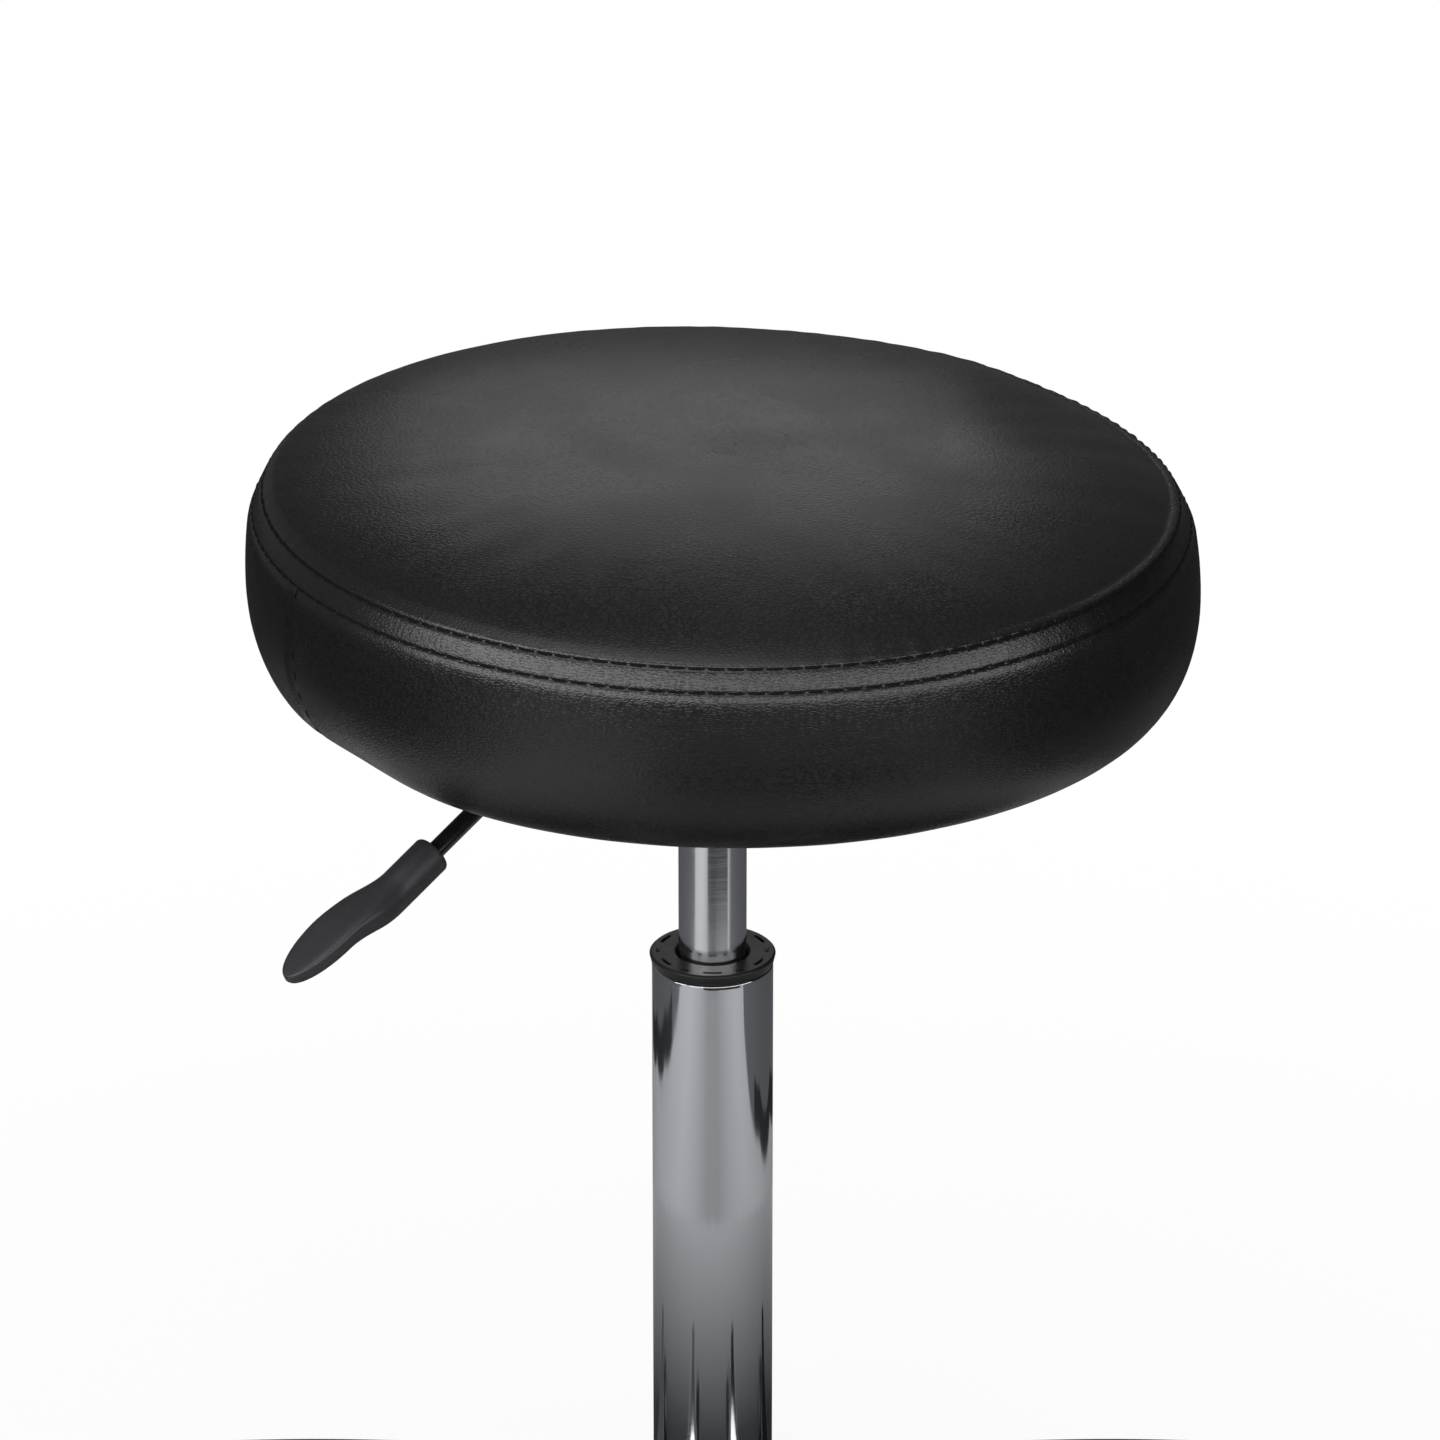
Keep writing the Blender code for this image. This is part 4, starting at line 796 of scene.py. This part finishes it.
def laidWires(name, points, outward, closed, settings, material, body):
    mesh = bpy.data.meshes.new(name)
    count = len(points)
    edges = [(i, (i + 1) % count) for i in range(count if closed else count - 1)]
    mesh.from_pydata(np.asarray(points).tolist(), edges, [])
    layer = mesh.attributes.new("outward", "FLOAT_VECTOR", "POINT")
    layer.data.foreach_set("vector", np.asarray(outward, np.float32).ravel())
    path = linked(name + "Path", mesh)
    modifier = path.modifiers.new("wires", "NODES")
    modifier.node_group = wireRow
    for socket, value in settings.items():
        modifier[wireSockets[socket]] = value
    modifier[wireSockets["Finish"]] = material
    return newPiece(name, bakedMesh(path), material, body, (), 50)


stitchSize = {"Length": 0.0062, "Sink": -0.0008, "Rise": 0.0003}
threadSize = {"seam": 0.00068, "row": 0.00058, "join": 0.00036, "lift": 0.0002, "pitch": 0.0076,
              "joinEnd": 0.074}


def stitches(name, points, normals, radius, count, closed=True):
    settings = {**stitchSize, "Radius": radius, "Count": count}
    points = points + normals * threadSize["lift"]
    laidWires(name, points, normals, closed, settings, thread, "seat")


def joinStitches():
    look = seatShape
    angle = math.radians(look["joinAngle"]) + look["joinGap"] / seatRadius
    column = int(round(angle / (2 * math.pi) * look["around"])) % look["around"]
    first = lowerRow + 3
    last = seamRow + 1 + int(np.argmin(np.abs(bandPlaces - threadSize["joinEnd"])))
    points = coverRows[first:last, column]
    count = int(round(float(lengthsAlong(points)[-1]) / threadSize["pitch"]))
    stitches("joinStitches", points, coverNormals[first:last, column], threadSize["join"], count, False)


for name, row, kind in (("seamStitches", seamRow, "seam"), ("bandStitches", lowerRow, "row")):
    stitches(name, coverRows[row], coverNormals[row], threadSize[kind], seatShape["stitches"])
joinStitches()
print("stitches sewn")


# dust cloth under the seat, with the staples that hold it

dustShape = {
    "around": 160, "rings": 40, "centre": 0.006, "edge": 0.01,
    "ripple": 0.000175, "rippleFrom": 0.09, "rippleWaves": (2, 9, 5),
    "thickness": 0.0006, "seed": 5, "stapleInset": 0.0045,
    "staple": {"Count": 44, "Length": 0.0100, "Radius": 0.0004, "Sink": 0.0, "Rise": 0.0006},
}


def dustCloth():
    look = dustShape
    low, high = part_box("dust_cover")
    random = np.random.default_rng(look["seed"])
    angles = np.arange(look["around"]) * 2 * math.pi / look["around"]
    middle = (low.z + high.z) / 2
    rows = []
    for radius in np.linspace(look["centre"], high.x, look["rings"]):
        slow = np.zeros_like(angles)
        if radius > look["rippleFrom"]:
            slow = wavesRound(random, angles, *look["rippleWaves"])
        height = middle + look["ripple"] * slow * min(1, (high.x - radius) / look["edge"])
        rows.append(np.stack([radius * np.cos(angles), radius * np.sin(angles), height], 1))
    mesh = thickened(loftMesh("dustCloth", rows, True, False), look["thickness"], 0)
    piece = newPiece("dustCloth", mesh, spunbond, "seat", ("dust_cover",))
    radius = high.x - look["stapleInset"]
    ring = [(radius * math.cos(a), radius * math.sin(a), middle - look["thickness"] / 2) for a in angles]
    laidWires("dustStaples", ring, [(0, 0, -1)] * len(ring), True, look["staple"], zinc, "seat")


dustCloth()
print("dust cloth stapled")


# lever: enamelled rod and a paddle that flattens from a round socket

leverShape = {
    "angle": 224.5, "height": 0.45932, "tail": 0.0100, "taper": 0.0064, "tipShare": 0.90,
    "straight": 0.1234, "droop": 25.6, "bend": 0.0250, "bendSteps": 16, "limb": 0.0346, "insert": 0.0297,
    "radius": 0.0037,
}
paddleShape = {
    "length": 0.0831, "socket": 0.0160, "width": 0.0206, "thickness": 0.0078, "rise": 0.0069,
    "neck": 0.0204, "shoulder": 0.0404, "blade": 0.0576, "tip": 0.0270, "tipLeast": 0.02,
    "mouthEdge": 0.0010, "mouthBow": (0.0003, 0.0004), "boreDepth": 0.0060, "boreEdge": 0.0006,
    "roundPower": 2.0, "bladePower": 5.0, "sides": 64, "rows": 60, "tipRows": 22,
}


# the lever lies in a plane through the column axis; out is along it, up is world Z
def leverPlace(out, up, aside=0.0):
    turn = math.radians(leverShape["angle"])
    across = math.cos(turn)
    along = math.sin(turn)
    return (out * across - aside * along, out * along + aside * across, up)


def leverRod():
    look = leverShape
    droop = math.radians(look["droop"])
    shoulder = look["bend"] * math.tan(droop / 2)
    line = [(-look["tail"], look["height"]), (-look["taper"], look["height"])]
    for angle in np.linspace(0, droop, look["bendSteps"] + 1):
        line.append((look["straight"] - shoulder + look["bend"] * math.sin(angle),
                     look["height"] - look["bend"] * (1 - math.cos(angle))))
    end = look["limb"] + look["insert"]
    line.append((look["straight"] + end * math.cos(droop), look["height"] - end * math.sin(droop)))
    # the tapered end clears the cylinder when the lever is pulled
    mesh = wireMesh("leverRod", [leverPlace(*point) for point in line], look["radius"], 8, look["tipShare"])
    standIn("lever_rod", mesh, enamel)


def paddleHandle():
    look = paddleShape
    droop = math.radians(leverShape["droop"])
    mouthOut = leverShape["straight"] + leverShape["limb"] * math.cos(droop)
    mouthUp = leverShape["height"] - leverShape["limb"] * math.sin(droop)
    tipStart = look["length"] - look["tip"]
    places = np.append(np.linspace(look["mouthEdge"], tipStart, look["rows"]),
                       tipStart + look["tip"] * np.sin(np.linspace(0, math.pi / 2, look["tipRows"])[1:]))
    angles = (np.arange(look["sides"]) + 0.5) * 2 * math.pi / look["sides"]
    ring = (np.cos(angles), np.sin(angles))

    def section(along, shrink=0.0):
        blade = eased((along - look["neck"]) / (look["blade"] - look["neck"]))
        spread = eased((along - look["neck"]) / (look["shoulder"] - look["neck"]))
        past = max(along - tipStart, 0) / look["tip"]
        roundOff = max(math.sqrt(max(1 - past * past, 0)), look["tipLeast"])
        halfWidth = (look["socket"] + (look["width"] - look["socket"]) * spread) / 2 - shrink
        halfHeight = (look["socket"] + (look["thickness"] - look["socket"]) * blade) / 2 - shrink
        power = look["roundPower"] + (look["bladePower"] - look["roundPower"]) * blade
        across, upward = (np.sign(wave) * np.abs(wave) ** (2 / power) for wave in ring)
        across = halfWidth * roundOff * across
        upward = halfHeight * math.sqrt(roundOff) * upward
        return across, upward + look["rise"] * blade

    def placed(along, across, upward):
        out = mouthOut + along * math.cos(droop) + upward * math.sin(droop)
        up = mouthUp - along * math.sin(droop) + upward * math.cos(droop)
        return [leverPlace(o, u, a) for o, u, a in zip(out, up, across)]

    bore = leverShape["radius"] + seatShape["fit"]
    rows = []
    for along, radius in ((look["boreDepth"], bore), (look["boreEdge"], bore), (0, bore + look["boreEdge"])):
        rows.append(placed(along, *(radius * wave for wave in ring)))
    for along, shrink in ((0.0, look["mouthEdge"]), look["mouthBow"], (look["mouthEdge"], 0.0)):
        rows.append(placed(along, *section(along, shrink)))
    rows += [placed(along, *section(along)) for along in places[1:]]
    mesh = tidied(loftMesh("paddleHandle", rows))
    standIn("paddle_handle", mesh, grip)


leverRod()
paddleHandle()
print("lever made")


# column and mechanism: finely turned or softened forms of the solids, each in its own finish

# the outline of a turned solid, read from one of its columns of corners
def profileOf(nodeName, column=11.25, tolerance=0.002):
    shape = bmesh.new()
    shape.from_mesh(nodes[nodeName].data)
    bmesh.ops.remove_doubles(shape, verts=shape.verts, dist=weldDistance)
    turns = {v: math.atan2(v.co.y, v.co.x) for v in shape.verts}
    nearest = min(turns.values(), key=lambda turn: abs(turn - math.radians(column)))
    corners = {v for v, turn in turns.items() if abs(turn - nearest) < tolerance}
    line = [max(corners, key=lambda v: (v.co.z, v.co.x))]
    while True:
        near = [edge.other_vert(line[-1]) for edge in line[-1].link_edges]
        near = [v for v in near if v in corners and v not in line]
        if not near:
            break
        line.append(near[0])
    profile = [(math.hypot(v.co.x, v.co.y), v.co.z) for v in line]
    shape.free()
    return profile


# rings near the ends of the long sides, so that bright metal shades truly
def steadied(profile, reach=0.0012, gap=0.02):
    result = []
    for here, after in zip(profile, profile[1:] + profile[:1]):
        result.append(here)
        length = math.dist(here, after)
        if length > 4 * reach:
            shares = [reach / length, *np.linspace(0, 1, 2 + int(length / gap))[1:-1], 1 - reach / length]
            result += [tuple(a + (b - a) * share for a, b in zip(here, after)) for share in shares]
    return result


turnedSides = 128
turnedPieces = {
    "column_tube": (chrome, 0.0005), "base_hub": (chrome, 0.0008), "inner_cylinder": (steel, 0.0004),
    "taper_socket": (powder, 0.0008),
}
for nodeName, (material, edge) in turnedPieces.items():
    mesh = turnedMesh(camel(nodeName), steadied(rounded(profileOf(nodeName), edge)), turnedSides)
    standIn(nodeName, mesh, material)

bushShape = {
    "sides": 288, "edge": 0.0003, "slots": 12, "inset": 0.0036, "width": 0.0014, "depth": 0.0018,
    "long": 19.0, "short": 8.0,    # degrees that a slot spans
    "lip": 0.0001,                 # half the width of a slot's slanted side
    "level": 0.000001,
}


def columnBush():
    look = bushShape
    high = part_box("column_bush")[1]
    profile = steadied(rounded(profileOf("column_bush"), look["edge"]))
    middle = high.x - look["inset"]
    steps = (-look["lip"], look["lip"])
    rings = [middle + side * look["width"] / 2 + step for side in (-1, 1) for step in steps]
    onTop = [i for i, (r, z) in enumerate(profile) if z > high.z - look["level"]]
    after = min((i for i in onTop if profile[i][0] > rings[-1]), key=lambda i: profile[i][0])
    outward = profile[after - 1][0] < rings[0]
    at = after if outward else after + 1
    profile[at:at] = [(r, high.z) for r in (rings if outward else rings[::-1])]
    angles = np.arange(look["sides"]) * 360 / look["sides"]
    pitch = 360 / look["slots"]
    index = np.round(angles / pitch)
    span = np.where(index % 2 == 1, look["long"], look["short"])
    cut = (np.abs(angles - index * pitch) < span / 2) * look["depth"]
    rows = []
    for r, z in profile:
        sunk = cut if r in rings[1:3] and z == high.z else 0
        ring = np.radians(angles)
        rows.append(np.stack([r * np.cos(ring), r * np.sin(ring), z - sunk + 0 * ring], 1))
    mesh = tidied(loftMesh("columnBush", rows + rows[:1], False, False))
    standIn("column_bush", mesh, acetal)


columnBush()

softPieces = {
    "lever_bracket": (powder, 0.0005), "mount_plate": (powder, 0.0006),
    **{f"plate_bolt_{n}": (zinc, 0.0004) for n in range(1, 5)},
    "retaining_clip": (zinc, 0.0002), "pivot_pin": (zinc, 0.0004),
}
for nodeName, (material, edge) in softPieces.items():
    standIn(nodeName, softenedCopy(nodeName, edge), material)
print("column and mechanism finished")


# five-star base: pressed chrome legs, finer than the solids

legShape = {
    "reach": 0.2280, "rootWidth": 0.0350, "endWidth": 0.0280, "rootHeight": 0.0440, "endHeight": 0.0240,
    "rootRaise": 0.0060, "arch": 0.0050, "shoulder": 0.0090, "crown": 0.0012, "sheet": 0.0020,
    "bottom": 0.05922, "stations": 20, "shoulderSteps": 7, "noseSteps": 18, "hubGap": 0.0003,
    "bore": 0.0058, "bossWall": 0.0030, "bossHeight": 0.0180, "bossEdge": 0.0004, "bossSides": 48,
    "bead": 0.0011, "beadEnd": 0.0010,
}


# the rounded shoulder of a leg from its top to its side, as distance from the middle and height
def legShoulder(width, top):
    look = legShape
    angles = [math.pi / 2 * i / look["shoulderSteps"] for i in range(look["shoulderSteps"] + 1)]
    return [(width / 2 - look["shoulder"] * (1 - math.sin(a)),
             top - look["crown"] - look["shoulder"] * (1 - math.cos(a))) for a in angles]


def legMesh():
    look = legShape
    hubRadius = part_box("base_hub")[1].x + look["hubGap"]

    def rib(t):
        arch = 4 * look["arch"] * t * (1 - t)
        top = look["bottom"] + look["rootHeight"] + (look["endHeight"] - look["rootHeight"]) * t + arch
        bottom = look["bottom"] + look["rootRaise"] * (1 - t) + arch
        width = look["rootWidth"] + (look["endWidth"] - look["rootWidth"]) * t
        side = [(width / 2, top + (bottom - top) * k / 3) for k in (2, 3)]
        return [(0.0, top), *legShoulder(width, top), *side]

    line = [(t, math.pi / 2) for t in np.linspace(0, 1, look["stations"])[:-1]]
    line += [(1.0, math.pi / 2 - math.pi * i / look["noseSteps"]) for i in range(look["noseSteps"] + 1)]
    line += [(t, -math.pi / 2) for t in np.linspace(1, 0, look["stations"])[1:]]
    points = []
    for t, angle in line:
        for out, up in rib(t):
            aside = out * math.sin(angle)
            root = math.sqrt(hubRadius ** 2 - aside ** 2)
            along = root + (look["reach"] - root) * t + out * math.cos(angle)
            points.append((along, aside, up))
    across = len(rib(0))
    faces = []
    for i in range(len(line) - 1):
        for j in range(across - 1):
            k = i * across + j
            faces.append((k, k + 1, k + across + 1, k + across))
    mesh = bpy.data.meshes.new("leg")
    mesh.from_pydata(points, [], faces)
    skin = thickened(tidied(mesh), look["sheet"], -1, True)
    wall = look["bore"] + look["bossWall"]
    top = look["bottom"] + look["bossHeight"]
    outline = [(wall, top), (wall, look["bottom"]), (look["bore"], look["bottom"]), (look["bore"], top)]
    boss = turnedMesh("boss", rounded(outline, look["bossEdge"]), look["bossSides"])
    boss.transform(Matrix.Translation((look["reach"], 0, 0)))
    return joinedMesh("leg", skin, boss)


def weldBead():
    look = legShape
    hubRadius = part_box("base_hub")[1].x + look["hubGap"]
    height = look["bottom"] + look["rootHeight"]
    side = legShoulder(look["rootWidth"], height)
    side.append((look["rootWidth"] / 2, look["bottom"] + look["rootRaise"] + look["beadEnd"]))
    line = [*reversed(side), (0.0, height), *((-aside, up) for aside, up in side)]
    places = [(math.sqrt(hubRadius ** 2 - aside ** 2), aside, up) for aside, up in line]
    return wireMesh("weld", places, look["bead"], 3)


legSource = legMesh()
weldSource = weldBead()
for n in range(1, 6):
    turn = Matrix.Rotation(math.radians(90 + 72 * (n - 1)), 4, "Z")
    standIn(f"leg_{n}", movedCopy(legSource, turn), chrome)
    newPiece(f"legWeld{n}", movedCopy(weldSource, turn), chrome, "base", ())
print("base finished")


# casters: hooded twin wheels

casterShape = {
    "trail": 0.0250, "wheelWidth": 0.0165, "hoodGap": 0.0010, "wall": 0.0020,
    "front": 30.0, "back": 195.0, "web": 0.0140, "webLow": 0.0150, "webSetBack": 4.0,
    "width": 0.0482, "boss": 0.0100, "bossTop": 0.05662, "bossDepth": 0.0250,
    "bossSides": 48, "wheelSides": 72, "arcSteps": 40, "webSteps": 24,
    "wheelRadius": 0.0250, "bore": 0.0058, "bossClear": 0.0060, "coverEdge": 0.0006, "softEdge": 0.0008,
    # the wheel's outer face from hub cap to rim: radius, and how far below the rim it lies
    "face": ((0.0, 0.0004), (0.0045, 0.0004), (0.0055, 0.0014), (0.0062, 0.0014), (0.0120, 0.0022),
             (0.0165, 0.0022), (0.0175, 0.0006), (0.0205, 0.0)),
    "tread": 0.0012, "treadFall": (0.0018, 0.0042), "axleBore": (0.0033, 0.0020), "wheelEdge": 0.0007,
}


def wheelMesh():
    look = casterShape
    low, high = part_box("wheel_1_left")
    radius = (high.z - low.z) / 2
    half = look["wheelWidth"] / 2
    edge = radius - look["tread"]
    fall, end = look["treadFall"]
    bore, floor = look["axleBore"]
    profile = [(r, half - depth) for r, depth in look["face"]]
    profile += [(edge, half - fall), (radius, half - end), (radius, -half + look["tread"]), (edge, -half),
                (bore, -half), (bore, floor), (0.0, floor)]
    return turnedMesh("wheel", rounded(profile, look["wheelEdge"], 3, False), look["wheelSides"], False)


def arcPoints(radius, first, last, steps):
    return [(radius * math.cos(math.radians(a)), radius * math.sin(math.radians(a)))
            for a in np.linspace(first, last, steps)]


# an outline in the wheel's plane, given a width along the axle and soft edges
def plateMesh(name, outline, width, edge):
    curve = bpy.data.curves.new(name, "CURVE")
    curve.dimensions = "2D"
    curve.fill_mode = "BOTH"
    curve.extrude = width / 2 - edge
    curve.bevel_depth = edge
    curve.bevel_resolution = 2
    curve.offset = -edge
    spline = curve.splines.new("POLY")
    spline.points.add(len(outline) - 1)
    for point, (x, y) in zip(spline.points, outline):
        point.co = (x, y, 0, 1)
    spline.use_cyclic_u = True
    mesh = tidied(bakedMesh(linked(name, curve)))
    mesh.transform(Matrix.Rotation(math.pi / 2, 4, "Z") @ Matrix.Rotation(math.pi / 2, 4, "X"))
    return mesh


def hoodMesh():
    look = casterShape
    inner = look["wheelRadius"] + look["hoodGap"]
    outer = inner + look["wall"]
    low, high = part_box("wheel_1_left")
    axleHeight = (low.z + high.z) / 2
    outline = arcPoints(outer, look["front"], look["back"], look["arcSteps"])
    outline += arcPoints(inner, look["back"], look["front"], look["arcSteps"])
    cover = plateMesh("hoodCover", outline, look["width"], look["coverEdge"])
    first = look["front"] + look["webSetBack"]
    last = look["back"] - look["webSetBack"]
    outline = arcPoints(inner + look["wall"] / 2, first, last, look["arcSteps"])
    outline += arcPoints(look["webLow"], last, first + 360, look["webSteps"])
    web = plateMesh("hoodWeb", outline, look["web"], look["softEdge"])
    for mesh in (cover, web):
        mesh.transform(Matrix.Translation((0, -look["trail"], axleHeight)))
    top = look["bossTop"]
    low = top - look["bossDepth"]
    outline = [(look["boss"], top), (look["boss"], low), (look["bore"], low), (look["bore"], top)]
    boss = turnedMesh("hoodBoss", rounded(outline, look["softEdge"]), look["bossSides"])
    # the boss stays between the wheels below the cover
    for vertex in boss.vertices:
        if vertex.co.z < top - look["bossClear"]:
            vertex.co.x = max(-look["web"] / 2, min(look["web"] / 2, vertex.co.x))
    return joinedMesh("hood", cover, web, boss)


wheelSource = wheelMesh()
hoodSource = hoodMesh()
for n in range(1, 6):
    low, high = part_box(f"caster_stem_{n}")
    stem = Matrix.Translation(((low.x + high.x) / 2, (low.y + high.y) / 2, 0))
    standIn(f"caster_hood_{n}", movedCopy(hoodSource, stem), nylon)
    for side, sign in (("left", -1), ("right", 1)):
        low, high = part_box(f"wheel_{n}_{side}")
        place = Matrix.Translation((low + high) / 2) @ Matrix.Rotation(sign * math.pi / 2, 4, "Y")
        standIn(f"wheel_{n}_{side}", movedCopy(wheelSource, place), nylon)
print("casters finished")


# the solids that stay get the finish of their kind

finishes = {
    "plywood": plywood, "zinc": zinc, "rubber": rubber, "ground_steel": steel, "nylon": nylon,
    "chrome": chrome, "powder_coat": powder,
}
for nodeName, node in nodes.items():
    if not node.hide_render:
        node.data.materials.clear()
        node.data.materials.append(finishes[slots[nodeName]])
print("inner pieces finished")


# stage: pale floor, soft studio light and the camera at the photograph's angle

stageLook = {
    "floor": "d6d6d6", "floorSize": 14.0, "whiteness": 0.94, "whiteFrom": (0.3, 1.0), "metalShare": 0.03,
}
roomLook = {
    "ceiling": ((0.60, 0.95), (0.10, 0.25)),    # a pale ceiling above dimmer walls
    "right": ((0.3, 0.7), (1.0, 0.2)),          # the wall on the right is in shade
    "left": ((-0.7, -0.3), (1.8, 1.0)),         # and the one on the left is lit
}


def lengthOf(tree, place):
    return addNode(tree, "ShaderNodeVectorMath", links={0: place}, operation="LENGTH").outputs["Value"]


def paleFloor():
    mesh = bpy.data.meshes.new("floor")
    half = stageLook["floorSize"] / 2
    corners = [(-half, -half, 0), (half, -half, 0), (half, half, 0), (-half, half, 0)]
    mesh.from_pydata(corners, [], [(0, 1, 2, 3)])
    floor = linked("floor", mesh)
    material, tree, shader = startMaterial("paperSweep", {"Base Color": hexColour(stageLook["floor"]),
                                                          "Roughness": 0.9})
    ray = addNode(tree, "ShaderNodeLightPath").outputs
    side = addNode(tree, "ShaderNodeNewGeometry").outputs
    white = outOf(tree, "ShaderNodeEmission", {"Strength": 1.0})
    # metal and glass show less of the white than the camera sees, as in the photograph
    mirror = maths(tree, "MAXIMUM", ray["Is Glossy Ray"], ray["Is Transmission Ray"])
    mirrored = maths(tree, "MULTIPLY", mirror, stageLook["metalShare"])
    # pure white away from the stool, where no shadow falls
    away = lengthOf(tree, side["Position"])
    share = remap(tree, away, stageLook["whiteFrom"], (stageLook["whiteness"], 1), True)
    seen = maths(tree, "MULTIPLY_ADD", ray["Is Camera Ray"], share, mirrored)
    paper = outOf(tree, "ShaderNodeMixShader", links={0: seen, 1: shader.outputs[0], 2: white})
    # from below the floor is clear, so that the underside can be looked at
    clear = outOf(tree, "ShaderNodeBsdfTransparent")
    both = outOf(tree, "ShaderNodeMixShader", links={0: side["Backfacing"], 1: paper, 2: clear})
    tree.links.new(both, tree.nodes["Material Output"].inputs["Surface"])
    mesh.materials.append(material)


# painted reflections: a sheet on the floor that only reflections see, darker or paler, to shade the bright
# metal and the leather
def shadeCloth(name, corners, colour, height, edge=None, along=(1, 0, 0), span=(0.1, 0.5)):
    mesh = bpy.data.meshes.new(name)
    mesh.from_pydata([(x, y, height) for x, y in corners], [], [tuple(range(len(corners)))])
    cloth = linked(name, mesh)
    values = {"Base Color": hexColour(colour), "Roughness": 1.0}
    material, tree, shader = startMaterial(name + "Cloth", values)
    if edge:
        flat = outOf(tree, "ShaderNodeVectorMath", {1: along}, {0: objectPlace(tree)}, operation="MULTIPLY")
        share = remap(tree, lengthOf(tree, flat), span)
        tree.links.new(blend(tree, share, colour, edge), shader.inputs["Base Color"])
    mesh.materials.append(material)
    cloth.visible_camera = False
    cloth.visible_diffuse = False
    cloth.visible_shadow = False


def studioWorld():
    world = bpy.data.worlds.new("studio")
    scene.world = world
    world.use_nodes = True
    tree = world.node_tree
    background = tree.nodes["Background"]
    ray = addNode(tree, "ShaderNodeLightPath").outputs
    direction = addNode(tree, "ShaderNodeTexCoord").outputs["Generated"]
    split = addNode(tree, "ShaderNodeSeparateXYZ", links={0: direction}).outputs
    ceiling = remap(tree, split["Z"], *roomLook["ceiling"], True)
    right = remap(tree, split["X"], *roomLook["right"], True)
    left = remap(tree, split["X"], *roomLook["left"], True)
    walls = maths(tree, "MULTIPLY", ceiling, maths(tree, "MULTIPLY", right, left))
    shade = outOf(tree, "ShaderNodeMix", {3: 1.0}, {0: ray["Is Camera Ray"], 2: walls})
    tree.links.new(shade, background.inputs["Strength"])
    background.inputs["Color"].default_value = (1, 1, 1, 1)


def softbox(name, place, aim, width, height, power):
    light = bpy.data.lights.new(name, "AREA")
    light.shape = "RECTANGLE"
    light.size = width
    light.size_y = height
    light.energy = power
    item = linked(name, light)
    item.location = place
    item.rotation_euler = (Vector(aim) - Vector(place)).to_track_quat("-Z", "Y").to_euler()
    item.visible_camera = False


cameraFit = {"target": (0.00306, 0.0, 0.4551), "elevation": 23.23, "distance": 3.3, "lens": 203.0,
             "sensor": 36.0}


def photoCamera():
    look = cameraFit
    camera = bpy.data.cameras.new("camera")
    camera.lens = look["lens"]
    camera.sensor_width = look["sensor"]
    item = linked("camera", camera)
    tilt = math.radians(look["elevation"])
    back = Vector((0, -math.cos(tilt), math.sin(tilt)))
    item.location = Vector(look["target"]) + back * look["distance"]
    item.rotation_euler = (-back).to_track_quat("-Z", "Y").to_euler()
    scene.camera = item


paleFloor()
studioWorld()
# painted reflections and shade: these sheets show only in the metal and the leather, and nothing else sees
# them
shadeCloth("nearShade", [(-3, -3), (3, -3), (3, 3), (-3, 3)], "a0a0a2", 0.0003, "cbccce")
shadeCloth("leftShade", [(-0.677, -0.316), (-0.74, -0.44), (-3, -0.9), (-3, 2), (-0.1, 2), (-0.26, 0.608),
                         (-0.49, 0.426), (-0.64, 0.14), (-0.683, -0.154)], "6a6b6e", 0.0006)
shadeCloth("rightShade", [(0.624, -0.346), (0.601, -0.188), (0.564, 0.096), (0.365, 0.455), (0.125, 0.564),
                          (0.05, 2), (3, 2), (3, -0.9), (0.70, -0.44)], "6a6b6e", 0.0006)
shadeCloth("leftHem", [(-0.683, -0.1), (-0.64, 0.14), (-0.49, 0.426), (-0.26, 0.608), (-0.28, 0.66),
                       (-0.53, 0.465), (-0.7, 0.155), (-0.74, -0.1)], "1c1d20", 0.0010)
shadeCloth("rightHem", [(0.59, -0.05), (0.564, 0.096), (0.365, 0.455), (0.125, 0.564), (0.135, 0.62),
                        (0.4, 0.5), (0.62, 0.11), (0.645, -0.05)], "1c1d20", 0.0010)
shadeCloth("frontShade", [(-0.24, -0.78), (-0.38, -1.40), (0.52, -1.40), (0.90, -1.15), (0.85, -0.62),
                          (0.62, -0.49), (0.52, -0.60), (0.40, -0.69), (0.22, -0.77)], "141518", 0.0007)
shadeCloth("farLeft", [(-0.95, -0.9), (-3, -1.6), (-3, 2), (-0.6, 2), (-0.95, 0.5)], "3a3b3d", 0.0015)
shadeCloth("farRight", [(0.95, -0.9), (0.95, 0.5), (0.6, 2), (3, 2), (3, -1.6)], "3a3b3d", 0.0015)
shadeCloth("backShade", [(-3, 0.8), (3, 0.8), (3, 3.5), (-3, 3.5)], "3a3b3d", 0.0012)
underRound = [(0.5 * math.cos(n * math.pi / 12), 0.5 * math.sin(n * math.pi / 12)) for n in range(24)]
shadeCloth("underShade", underRound, "3a3b3d", 0.0008, "b8b9bb", (1, 1, 0), (0.28, 0.5))
softbox("keyLeft", (-1.62, -1.50, 1.44), (0, 0, 0.5), 2.4, 1.0, 40.5)
softbox("key", (0.12, -2.18, 1.52), (0, 0, 0.5), 1.9, 1.0, 22)
softbox("keyRight", (1.78, -1.39, 1.32), (0, 0, 0.5), 2.3, 1.0, 25)
softbox("topFront", (-0.2, -0.79, 2.5), (0, 0, 0.55), 1.6, 0.6, 6.6)
softbox("top", (-0.3, -0.2, 2.5), (0, 0, 0.55), 1.6, 2.4, 11)
softbox("back", (0, 2.3, 1.45), (0, 0, 0.55), 0.8, 0.5, 1.3)
photoCamera()
scene.view_settings.view_transform = "Standard"
print("stage set")
